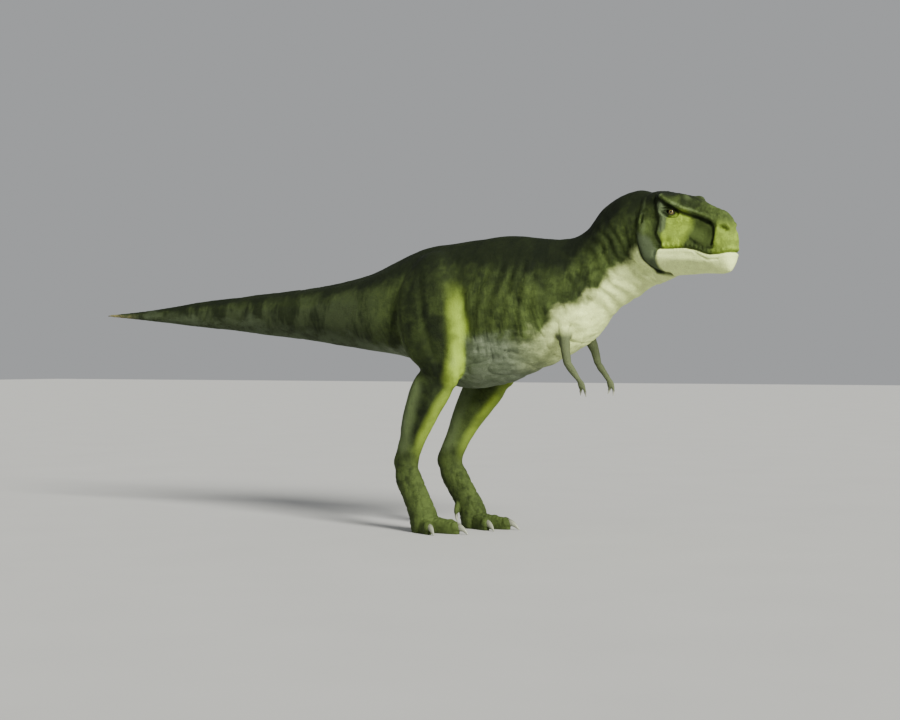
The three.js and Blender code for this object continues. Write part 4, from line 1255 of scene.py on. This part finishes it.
    def dark_lines_and_shade(self) -> np.ndarray:
        """1 along the dark lines of the face and round the eye; the lines under the brow ridge and behind the
        raised front of the snout are painted shade.
        """
        lines = (
            # The first two are painted shade, under the brow ridge and behind the raised front of the snout.
            (UNDER_BROW, 0.012, 0.040, 1.0),
            (SNOUT_RIM, 0.010, 0.036, 1.0),
            (SNOUT_RIM_FOOT, 0.004, 0.034, 0.6),
            (JAW_ANGLE, 0.012, 0.040, 1.0),
            (CHEEK_BAND, 0.022, 0.075, 0.8),
            (BAND_BEHIND, 0.03, 0.09, 0.6),
            (NOSTRIL, 0.006, 0.030, 0.6),
        )
        away = self.head - np.array(EYE_PLACE)
        ink_and_shade = smooth_step(np.hypot(away[:, 0] / 1.25, away[:, 2] / 0.75), 0.085, 0.050)
        for line, inner, outer, share in lines:
            ink_and_shade = np.maximum(ink_and_shade, share * self.along(line, inner, outer))
        return ink_and_shade * self.head_mask()

    def lit_edge(self) -> np.ndarray:
        """1 along the front edge of the thigh and shank, where a painted highlight lies over slightly
        yellow-green skin.
        """
        side = self.leg * [1, 0, 1]
        height = self.leg[:, 2]
        thigh = smooth_step(line_distance(side, THIGH_EDGE), 0.21, 0.0) * smooth_step(height, 3.70, 3.00)
        shank = smooth_step(line_distance(side, SHANK_EDGE), 0.11, 0.0) * smooth_step(height, 0.86, 1.55)
        near = np.maximum(thigh, 0.6 * shank)
        return near * smooth_step(self.leg[:, 1], 0.22, 0.40) * (self.points[:, 0] < 1.6)

    def shade(self) -> np.ndarray:
        """1 where painted shade darkens the outer face of the thigh and the middle of the shank."""
        width = np.interp(self.points[:, 2], SHADE_HEIGHTS, SHADE_WIDTHS)
        near = smooth_step(line_distance(self.leg * [1, 0, 1], LEG_SHADE) / width, 1.0, 0.45)
        return near * smooth_step(self.leg[:, 1], 0.42, 0.56)

    def calf(self) -> np.ndarray:
        """1 on the pale grey back of the shank."""
        near = line_distance(self.leg * [1, 0, 1], CALF)
        return smooth_step(near, 0.22, 0.06) * self.limb_mask()


class Graph:
    """Adds nodes to a shader tree."""

    def __init__(self, tree: bpy.types.NodeTree) -> None:
        """Takes the tree to add to."""
        self.tree = tree
        self.column = 0

    def node(self, kind: str, values: dict | None = None, **settings: str | float | bool) -> bpy.types.Node:
        """A new node.

        Args:
            kind: its type.
            values: what goes into its inputs, each a socket to link or a constant.
            settings: its own settings.

        Returns:
            The node.
        """
        made = self.tree.nodes.new(kind)
        self.column += 1
        made.location = (self.column * 180, -(self.column % 5) * 160)
        for key, value in settings.items():
            setattr(made, key, value)
        for key, value in (values or {}).items():
            target = made.inputs[key]
            if isinstance(value, Socket):
                self.tree.links.new(value, target)
            else:
                target.default_value = value
        return made

    def math(self, operation: str, *values: Socket | float) -> Socket:
        """The result of a Math node."""
        return self.node("ShaderNodeMath", dict(enumerate(values)), operation=operation).outputs[0]

    def times(self, first: Socket | float, second: Socket | float) -> Socket:
        """One value times another."""
        return self.math("MULTIPLY", first, second)

    def mix(self, factor: Socket | float, first: Socket | Row, second: Socket | Row) -> Socket:
        """A blend of two colours."""
        made = self.node("ShaderNodeMix", {}, data_type="RGBA")
        for index, value in ((0, factor), (6, first), (7, second)):
            if isinstance(value, Socket):
                self.tree.links.new(value, made.inputs[index])
            else:
                made.inputs[index].default_value = value
        return made.outputs[2]

    def span(self, value: Socket, low: float, high: float, start: float = 0.0, end: float = 1.0) -> Socket:
        """A value carried smoothly from one range to another."""
        values = {"Value": value, "From Min": low, "From Max": high, "To Min": start, "To Max": end}
        made = self.node("ShaderNodeMapRange", values, interpolation_type="SMOOTHSTEP")
        return made.outputs["Result"]

    def noise(self, where: Socket, scale: float, detail: float = 4.0, distortion: float = 0.0) -> Socket:
        """A noise from 0 to 1."""
        values = {"Vector": where, "Scale": scale, "Detail": detail, "Distortion": distortion}
        return self.node("ShaderNodeTexNoise", values).outputs[0]

    def mark(self, name: str) -> Socket:
        """A number stored on the piece's vertices."""
        return self.node("ShaderNodeAttribute", attribute_name=name).outputs["Fac"]

    def place(self, scale: Row = (1, 1, 1)) -> Socket:
        """Object coordinates in the animal's own frame, stretched by a scale."""
        where = self.node("ShaderNodeTexCoord").outputs["Object"]
        shift = tuple(-o * s for o, s in zip(ORIGIN, scale))
        return self.node("ShaderNodeMapping", {"Vector": where, "Location": shift, "Scale": scale}).outputs[0]


def new_material(name: str) -> tuple[bpy.types.Material, Graph, bpy.types.Node]:
    """A new material with its graph and its main shader."""
    made = bpy.data.materials.new(name)
    made.use_nodes = True
    return made, Graph(made.node_tree), made.node_tree.nodes["Principled BSDF"]


def shader_group(name: str, inputs: Sequence[tuple[str, str, float]], outputs: Sequence[tuple[str, str]],
                 fill: Callable[[Graph, bpy.types.Node, bpy.types.Node], None]) -> bpy.types.NodeTree:
    """A shader node group, built once.

    Args:
        name: the group's name.
        inputs: name, socket type and default of each input.
        outputs: name and socket type of each output.
        fill: adds its nodes between the group's input and output nodes.

    Returns:
        The group.
    """
    if name in bpy.data.node_groups:
        return bpy.data.node_groups[name]
    group = bpy.data.node_groups.new(name, "ShaderNodeTree")
    for label, kind, default in inputs:
        socket = group.interface.new_socket(label, in_out="INPUT", socket_type=kind)
        if kind == "NodeSocketFloat":
            socket.default_value = default
    for label, kind in outputs:
        group.interface.new_socket(label, in_out="OUTPUT", socket_type=kind)
    graph = Graph(group)
    fill(graph, graph.node("NodeGroupInput"), graph.node("NodeGroupOutput"))
    return group


def scale_grain() -> bpy.types.NodeTree:
    """A group for the relief of scaly skin: rounded cells with creases between, over finer pebbles."""

    def fill(graph: Graph, start: bpy.types.Node, end: bpy.types.Node) -> None:
        """Builds the relief."""
        where, size = start.outputs["Vector"], start.outputs["Cells per Metre"]
        values = {"Vector": where, "Scale": 6.0, "Detail": 3.0}
        wobble = graph.node("ShaderNodeTexNoise", values).outputs["Color"]
        bent = graph.node("ShaderNodeMixRGB", {0: 0.06, 1: where, 2: wobble}, blend_type="ADD").outputs[0]
        lines = {"feature": "DISTANCE_TO_EDGE"}
        cells = graph.node("ShaderNodeTexVoronoi", {"Vector": bent, "Scale": size}, **lines)
        dome = graph.span(cells.outputs["Distance"], 0.0, 0.24)
        fine = graph.times(size, 3.1)
        pebble = graph.node("ShaderNodeTexVoronoi", {"Vector": bent, "Scale": fine}, **lines)
        small = graph.span(pebble.outputs["Distance"], 0.0, 0.3)
        folds = graph.noise(where, 9.0, 6.0, 0.6)
        ridge = graph.math("ABSOLUTE", graph.math("SUBTRACT", folds, 0.5))
        crease = graph.span(ridge, 0.0, 0.06)
        both = graph.math("ADD", graph.times(dome, 0.6), graph.times(small, 0.22))
        height = graph.math("ADD", both, graph.times(crease, start.outputs["Creases"]))
        graph.tree.links.new(height, end.inputs["Height"])
        graph.tree.links.new(dome, end.inputs["Cells"])

    inputs = (
        ("Vector", "NodeSocketVector", 0.0),
        ("Cells per Metre", "NodeSocketFloat", 26.0),
        ("Creases", "NodeSocketFloat", 0.4),
    )
    outputs = (("Height", "NodeSocketFloat"), ("Cells", "NodeSocketFloat"))
    return shader_group("Scale grain", inputs, outputs, fill)


def mottling() -> bpy.types.NodeTree:
    """A group for blotches with broken edges, from 0 to 1."""

    def fill(graph: Graph, start: bpy.types.Node, end: bpy.types.Node) -> None:
        """Builds the blotches."""
        where, scale = start.outputs["Vector"], start.outputs["Blotches per Metre"]
        values = {"Vector": where, "Scale": scale, "Detail": 7.0, "Roughness": 0.62}
        large = graph.node("ShaderNodeTexNoise", values)
        fine_scale = graph.times(scale, 7.0)
        fine = graph.node("ShaderNodeTexNoise", {"Vector": where, "Scale": fine_scale, "Detail": 3.0})
        both = graph.math("ADD", large.outputs[0], graph.times(fine.outputs[0], 0.22))
        mask = graph.span(both, 0.52, 0.70)
        graph.tree.links.new(mask, end.inputs["Mask"])

    inputs = (("Vector", "NodeSocketVector", 0.0), ("Blotches per Metre", "NodeSocketFloat", 2.0))
    return shader_group("Mottling", inputs, (("Mask", "NodeSocketFloat"),), fill)


@dataclass(frozen=True)
class HideFinish:
    """Dry, scaly, mottled olive skin with a pale belly, throat and jaw, with light and shade painted in
    places.

    Args:
        back, flank, light, lime, belly, cream, ash, arm, ink, tail, tip, pale, dusk, shadow: its colours;
        lime and pale also paint highlights, shadow paints shade, and back, dusk and ink paint some shade.
        cells: scales in a metre.
        relief: how strongly the scales catch the light.
        relief_depth: how deep they are, in metres.
        shine: how much light the dry skin mirrors.
    """

    back: Row = (0.0040, 0.0066, 0.0022, 1)
    flank: Row = (0.020, 0.030, 0.0070, 1)
    light: Row = (0.070, 0.102, 0.024, 1)
    lime: Row = (0.33, 0.47, 0.045, 1)
    belly: Row = (0.17, 0.205, 0.13, 1)
    cream: Row = (0.85, 0.99, 0.38, 1)
    ash: Row = (0.08, 0.105, 0.055, 1)
    arm: Row = (0.040, 0.050, 0.030, 1)
    ink_and_shade: Row = (0.007, 0.012, 0.002, 1)
    tail: Row = (0.032, 0.043, 0.019, 1)
    tip: Row = (0.30, 0.26, 0.11, 1)
    pale: Row = (0.14, 0.19, 0.075, 1)
    dusk: Row = (0.008, 0.012, 0.004, 1)
    shadow: Row = (0.007, 0.011, 0.0035, 1)
    cells: float = 55.0
    relief: float = 0.70
    relief_depth: float = 0.006
    shine: float = 0.12

    def material(self) -> bpy.types.Material:
        """The material, whose marks are on the skin's vertices."""
        made, graph, shader = new_material("scaly hide")
        grain = graph.node("ShaderNodeGroup", {}, node_tree=scale_grain())
        graph.tree.links.new(graph.place(), grain.inputs["Vector"])
        grain.inputs["Cells per Metre"].default_value = self.cells
        grain.inputs["Creases"].default_value = 0.5
        colour = self.colour(graph, grain.outputs["Cells"])
        graph.tree.links.new(colour, shader.inputs["Base Color"])
        rough = graph.span(graph.noise(graph.place(), 14.0), 0.3, 0.7, 0.66, 0.82)
        graph.tree.links.new(rough, shader.inputs["Roughness"])
        values = {"Strength": self.relief, "Distance": self.relief_depth, "Height": grain.outputs["Height"]}
        bump = graph.node("ShaderNodeBump", values)
        graph.tree.links.new(bump.outputs["Normal"], shader.inputs["Normal"])
        shader.inputs["Specular IOR Level"].default_value = self.shine
        return made

    def colour(self, graph: Graph, cells: Socket) -> Socket:
        """The hide's colour from its marks and blotches."""
        upright = graph.place((2.1, 0.7, 0.62))
        stripes = self.blotches(graph, upright, 1.15)
        patches = self.blotches(graph, graph.place(), 2.6)
        flecks = self.blotches(graph, graph.place(), 9.0)
        edge = graph.noise(graph.place(), 3.4, 6.0, 0.4)
        colour = graph.mix(stripes, self.flank, self.light)
        colour = graph.mix(graph.times(patches, 0.45), colour, self.light)
        colour = graph.mix(graph.times(flecks, 0.35), colour, self.back)
        # The top of the trunk is darker: the animal's own dark back, deepened as painted shade.
        high = graph.math("ADD", graph.mark("rise"), graph.times(graph.math("SUBTRACT", edge, 0.5), 0.9))
        back = graph.times(graph.span(high, 0.0, 0.70), self.outside(graph, "limb", 0.7))
        colour = graph.mix(graph.times(back, 0.92), colour, self.back)
        place = graph.node("ShaderNodeSeparateXYZ", {"Vector": graph.place()})
        rear = place.outputs["X"]
        # Behind the hip and below the top, the hide turns to dark-striped grey-olive, partly painted shade.
        tail = graph.times(graph.span(rear, 0.1, -1.5, 0.0, 0.88), graph.span(high, 0.7, 0.0))
        colour = graph.mix(tail, colour, graph.mix(stripes, self.dusk, self.tail))
        leg = graph.times(graph.mark("limb"), 0.35)
        colour = graph.mix(leg, colour, graph.mix(patches, self.flank, self.light))
        foot = graph.span(place.outputs["Z"], 1.25, 0.75)
        colour = graph.mix(graph.times(foot, 0.45), colour, graph.mix(flecks, self.flank, self.light))
        # Painted shade on the outer face of the thigh and down the middle of the shank.
        shade = graph.times(graph.mark("shade"), graph.span(edge, 0.35, 0.65, 0.95, 0.55))
        colour = graph.mix(shade, colour, graph.mix(flecks, self.shadow, self.back))
        # Painted highlight along the front edge of the thigh and shank, over slightly yellow-green skin.
        shine = graph.times(graph.mark("lit_edge"), graph.span(edge, 0.3, 0.6, 0.45, 0.95))
        colour = graph.mix(shine, colour, self.lime)
        colour = graph.mix(graph.times(graph.mark("calf"), 0.5), colour, self.pale)
        colour = self.underside(graph, colour, edge, flecks)
        colour = self.face(graph, colour, edge, flecks)
        colour = graph.mix(graph.times(graph.mark("hand"), 0.93), colour, self.arm)
        # Painted shade in creases and folds.
        sunk = graph.span(graph.mark("hollow"), 0.0008, 0.008)
        colour = graph.mix(graph.times(sunk, 0.55), colour, self.ink_and_shade)
        between_cells = graph.span(cells, 0.0, 0.7, 0.18, 0.0)
        return graph.mix(between_cells, colour, self.ink_and_shade)

    def blotches(self, graph: Graph, where: Socket, scale: float) -> Socket:
        """One layer of mottling."""
        made = graph.node("ShaderNodeGroup", {}, node_tree=mottling())
        graph.tree.links.new(where, made.inputs["Vector"])
        made.inputs["Blotches per Metre"].default_value = scale
        return made.outputs["Mask"]

    def outside(self, graph: Graph, mark: str, share: float) -> Socket:
        """1 away from a mark, and less on it."""
        return graph.math("SUBTRACT", 1.0, graph.times(graph.mark(mark), share))

    def underside(self, graph: Graph, colour: Socket, edge: Socket, flecks: Socket) -> Socket:
        """Adds the grey belly, which turns cream towards the chest and throat."""
        broken = graph.times(graph.math("SUBTRACT", edge, 0.5), 0.55)
        depth = graph.math("ADD", graph.mark("belly"), broken)
        mask = graph.times(graph.span(depth, -0.09, 0.14), self.outside(graph, "limb", 1.0))
        mask = graph.times(mask, self.outside(graph, "in_head", 1.0))
        split = graph.node("ShaderNodeSeparateXYZ", {"Vector": graph.place()})
        forward = graph.span(split.outputs["X"], 1.3, 2.4)
        pale = graph.mix(forward, self.belly, self.cream)
        tail = graph.span(split.outputs["X"], -0.4, -1.6)
        bands = self.blotches(graph, graph.place((2.6, 0.3, 0.3)), 1.5)
        pale = graph.mix(tail, pale, graph.mix(graph.times(bands, 0.7), self.tail, self.flank))
        pale = graph.mix(graph.span(split.outputs["X"], -5.6, -6.2), pale, self.tip)
        folds = self.blotches(graph, graph.place((1.0, 1.0, 2.4)), 3.2)
        stained = graph.mix(graph.times(folds, graph.span(forward, 0.0, 1.0, 0.6, 0.12)), pale, self.ash)
        stained = graph.mix(graph.times(flecks, graph.span(forward, 0.0, 1.0, 0.4, 0.14)), stained, self.ash)
        return graph.mix(mask, colour, stained)

    def face(self, graph: Graph, colour: Socket, edge: Socket, flecks: Socket) -> Socket:
        """Adds the cheek and snout and the ridge over the eye, partly painted highlight, the pale jaw, and
        the dark lines of the head, partly painted shade.
        """
        colour = graph.mix(graph.times(graph.mark("pit"), 0.85), colour, self.light)
        # Painted highlight along the ridge over the eye; the band behind the cheek and the horn are made
        # paler.
        ridge = graph.mix(flecks, self.pale, self.light)
        colour = graph.mix(graph.times(graph.mark("pale"), 0.75), colour, ridge)
        # The cheek and snout: yellow-green skin brightened by a painted highlight.
        mottled = graph.mix(graph.times(flecks, 0.4), self.lime, self.light)
        lime = graph.times(graph.mark("lime"), graph.span(edge, 0.25, 0.55, 0.7, 1.0))
        colour = graph.mix(lime, colour, mottled)
        below = graph.span(graph.mark("lip"), 0.004, -0.010)
        jaw = graph.times(below, graph.mark("in_head"))
        pale = graph.mix(graph.times(flecks, 0.14), self.cream, self.belly)
        colour = graph.mix(jaw, colour, pale)
        colour = graph.mix(graph.times(graph.mark("ashen"), 0.85), colour, self.ash)
        # Dark lines of the face, partly painted shade under the brow ridge and behind the snout's raised
        # front.
        return graph.mix(graph.times(graph.mark("inked"), 0.82), colour, self.ink_and_shade)


@dataclass(frozen=True)
class HornFinish:
    """Worn horn of the claws: dark at the root, pale at the point, with streaks along it."""

    root: Row = (0.045, 0.045, 0.03, 1)
    point: Row = (0.22, 0.23, 0.17, 1)

    def material(self) -> bpy.types.Material:
        """The material, which reads how far along the claw a point is."""
        if "worn horn" in bpy.data.materials:
            return bpy.data.materials["worn horn"]
        made, graph, shader = new_material("worn horn")
        along = graph.mark("along")
        streaks = graph.noise(graph.place((1, 1, 1)), 60.0, 5.0)
        mixed = graph.math("ADD", along, graph.times(graph.math("SUBTRACT", streaks, 0.5), 0.6))
        colour = graph.mix(graph.span(mixed, 0.05, 0.55), self.root, self.point)
        graph.tree.links.new(colour, shader.inputs["Base Color"])
        graph.tree.links.new(graph.span(streaks, 0.3, 0.7, 0.28, 0.48), shader.inputs["Roughness"])
        bump = graph.node("ShaderNodeBump", {"Strength": 0.4, "Distance": 0.002, "Height": streaks})
        graph.tree.links.new(bump.outputs["Normal"], shader.inputs["Normal"])
        return made


@dataclass(frozen=True)
class EyeFinish:
    """Wet amber eye with a round dark pupil."""

    iris: Row = (0.34, 0.25, 0.04, 1)
    rim: Row = (0.035, 0.022, 0.006, 1)
    white: Row = (0.06, 0.05, 0.03, 1)
    pupil: float = 0.24
    iris_edge: float = 0.56

    def material(self) -> bpy.types.Material:
        """The material, which reads the angle from the eye's own axis."""
        if "wet eye" in bpy.data.materials:
            return bpy.data.materials["wet eye"]
        made, graph, shader = new_material("wet eye")
        angle = graph.mark("angle")
        rays = graph.noise(graph.place(), 160.0, 3.0)
        iris = graph.mix(rays, self.rim, self.iris)
        iris = graph.mix(graph.span(angle, self.iris_edge - 0.12, self.iris_edge), iris, self.rim)
        colour = graph.mix(graph.span(angle, self.pupil, self.pupil + 0.03), (0.002, 0.002, 0.002, 1), iris)
        colour = graph.mix(graph.span(angle, self.iris_edge, self.iris_edge + 0.05), colour, self.white)
        graph.tree.links.new(colour, shader.inputs["Base Color"])
        shader.inputs["Roughness"].default_value = 0.10
        shader.inputs["Coat Weight"].default_value = 0.4
        return made


@dataclass
class Eyes:
    """The two eyeballs, each with a raised cornea.

    Args:
        gaze: degrees that each eye looks forward from straight sideways.
        cornea: how far the cornea stands proud.
    """

    gaze: float = 24.0
    cornea: float = 0.005

    def build(self) -> list[bpy.types.Object]:
        """Builds both eyes."""
        return [self.eye(side) for side in Side]

    def eye(self, side: Side) -> bpy.types.Object:
        """Builds one eye and dresses it."""
        bm = bmesh.new()
        bmesh.ops.create_uvsphere(bm, u_segments=48, v_segments=32, radius=EYE_RADIUS)
        turn = math.radians(self.gaze)
        axis = Vector((math.sin(turn), side.value * math.cos(turn), 0.08)).normalized()
        layer = bm.verts.layers.float.new("angle")
        for vertex in bm.verts:
            angle = vertex.co.angle(axis)
            vertex[layer] = angle
            vertex.co *= 1 + self.cornea / EYE_RADIUS * max(0.0, math.cos(min(angle * 2.4, math.pi / 2)))
        x, y, z = EYE_PLACE
        place = Matrix.Translation(ORIGIN) @ HEAD_TO_BODY @ Matrix.Translation((x, side.value * y, z))
        bmesh.ops.transform(bm, matrix=place, verts=bm.verts)
        for face in bm.faces:
            face.smooth = True
        name = f"eyeball_{side.name.lower()}"
        piece = object_of(name, mesh_of(name, bm))
        piece.data.materials.append(EyeFinish().material())
        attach(piece, BODY)
        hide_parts(f"eye_{side.name.lower()}")
        return piece


@dataclass
class Claws:
    """The horn of the toes and fingers.

    Args:
        sides: points round a claw.
        rings: rings along it.
    """

    sides: int = 22
    rings: int = 26

    def build(self) -> list[bpy.types.Object]:
        """Builds every claw on both sides."""
        made = []
        for side in Side:
            suffix = side.name.lower()
            for toe in TOES:
                made.append(self.claw(toe_claw_rows(toe, side), f"claw_{toe.node}_{suffix}"))
            made.append(self.claw(on_side(HALLUX_CLAW, side, True), f"claw_hallux_{suffix}"))
            for finger, shift, length in FINGERS:
                rows = finger_rows(shift, length, side, *FINGER_CLAW, True)
                made.append(self.claw(rows, f"claw_{finger}_{suffix}"))
        return made

    def claw(self, rows: tuple[Row, ...], node: str) -> bpy.types.Object:
        """Builds one claw that replaces its node.

        Args:
            rows: the claw's table.
            node: the solid that it stands for.

        Returns:
            The claw's object.
        """
        bm = bmesh.new()
        sleeve = Sleeve(rows, self.sides, self.rings)
        sleeve.add_to(bm)
        layer = bm.verts.layers.float.new("along")
        first, last = Vector(rows[0][:3]), Vector(rows[-1][:3])
        for vertex in bm.verts:
            vertex[layer] = (vertex.co - first).length / (last - first).length
        cut_at_floor(bm)
        bmesh.ops.holes_fill(bm, edges=[edge for edge in bm.edges if edge.is_boundary], sides=0)
        bmesh.ops.transform(bm, matrix=Matrix.Translation(ORIGIN), verts=bm.verts)
        for face in bm.faces:
            face.smooth = True
        piece = object_of(f"horn_{node}", mesh_of(f"horn_{node}", bm))
        piece.data.materials.append(HornFinish().material())
        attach(piece, BODY)
        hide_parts(node)
        return piece


@dataclass(frozen=True)
class Lamp:
    """A broad distant light.

    Args:
        name: its name.
        toward: the direction over the floor in which it stands.
        rise: its height over the floor in degrees.
        strength: how bright it is.
        spread: how wide it looks, in degrees, which softens its shadows.
        colour: its colour.
    """

    name: str
    toward: tuple[float, float]
    rise: float
    strength: float
    spread: float
    colour: Row


LAMPS = (
    Lamp("key", (0.88, -0.47), 27.0, 8.6, 18.0, (1.0, 0.99, 0.92)),
    Lamp("fill", (-0.25, -0.97), 18.0, 0.15, 60.0, (0.90, 0.95, 1.0)),
)


@dataclass
class Studio:
    """A plain pale floor, soft light from the head's side, and the camera.

    Args:
        lens: the camera's focal length on a 36 mm sensor.
        azimuth: degrees that the camera stands round towards the head from straight to the side.
        distance: from the hip to the camera, along its view.
        aside: how far the hip lies left of the middle of the view.
        height: of the camera, which looks level.
    """

    lens: float = 65.0
    azimuth: float = 30.0
    distance: float = 24.0
    aside: float = 0.148
    height: float = 2.5

    def build(self) -> None:
        """Builds floor, lights, world and camera."""
        self.floor()
        self.world()
        for lamp in LAMPS:
            self.sun(lamp)
        self.camera()

    def floor(self) -> None:
        """Builds the floor."""
        bm = bmesh.new()
        bmesh.ops.create_grid(bm, x_segments=1, y_segments=1, size=140.0)
        ground = object_of("floor", mesh_of("floor", bm))
        made, graph, shader = new_material("floor")
        cloud = graph.noise(graph.place(), 0.6, 3.0)
        colour = graph.mix(cloud, (0.42, 0.42, 0.41, 1), (0.46, 0.46, 0.45, 1))
        graph.tree.links.new(colour, shader.inputs["Base Color"])
        shader.inputs["Roughness"].default_value = 0.85
        ground.data.materials.append(made)

    def world(self) -> None:
        """Lights the whole scene evenly and softly."""
        made = bpy.data.worlds.new("studio")
        made.use_nodes = True
        background = made.node_tree.nodes["Background"]
        background.inputs["Color"].default_value = (0.90, 0.92, 0.94, 1)
        background.inputs["Strength"].default_value = 0.42
        bpy.context.scene.world = made

    def sun(self, lamp: Lamp) -> None:
        """Adds one of the lights."""
        data = bpy.data.lights.new(lamp.name, "SUN")
        data.energy, data.angle, data.color = lamp.strength, math.radians(lamp.spread), lamp.colour
        made = bpy.data.objects.new(lamp.name, data)
        bpy.context.scene.collection.objects.link(made)
        place = Vector((*lamp.toward, math.tan(math.radians(lamp.rise))))
        made.location = ORIGIN + 12 * place
        made.rotation_euler = (-place).to_track_quat("-Z", "Y").to_euler()

    def camera(self) -> None:
        """Places the camera as the photograph sees the animal."""
        turn = math.radians(self.azimuth)
        right = Vector((math.cos(turn), math.sin(turn), 0.0))
        ahead = Vector((-math.sin(turn), math.cos(turn), 0.0))
        data = bpy.data.cameras.new("camera")
        data.lens = self.lens
        data.clip_end = 400.0
        camera = bpy.data.objects.new("camera", data)
        bpy.context.scene.collection.objects.link(camera)
        camera.location = ORIGIN + self.aside * right - self.distance * ahead + Vector((0, 0, self.height))
        camera.rotation_euler = ahead.to_track_quat("-Z", "Y").to_euler()
        bpy.context.scene.camera = camera


def main() -> None:
    """Builds the studio and every piece of the animal, and reports each."""
    logging.basicConfig(level=logging.INFO, format="%(message)s")
    Studio().build()
    pieces = [Hide().build(), *Eyes().build(), *Claws().build()]
    for piece in pieces:
        LOG.info("%s: %d faces", piece.name, len(piece.data.polygons))


if __name__ == "__main__":
    main()
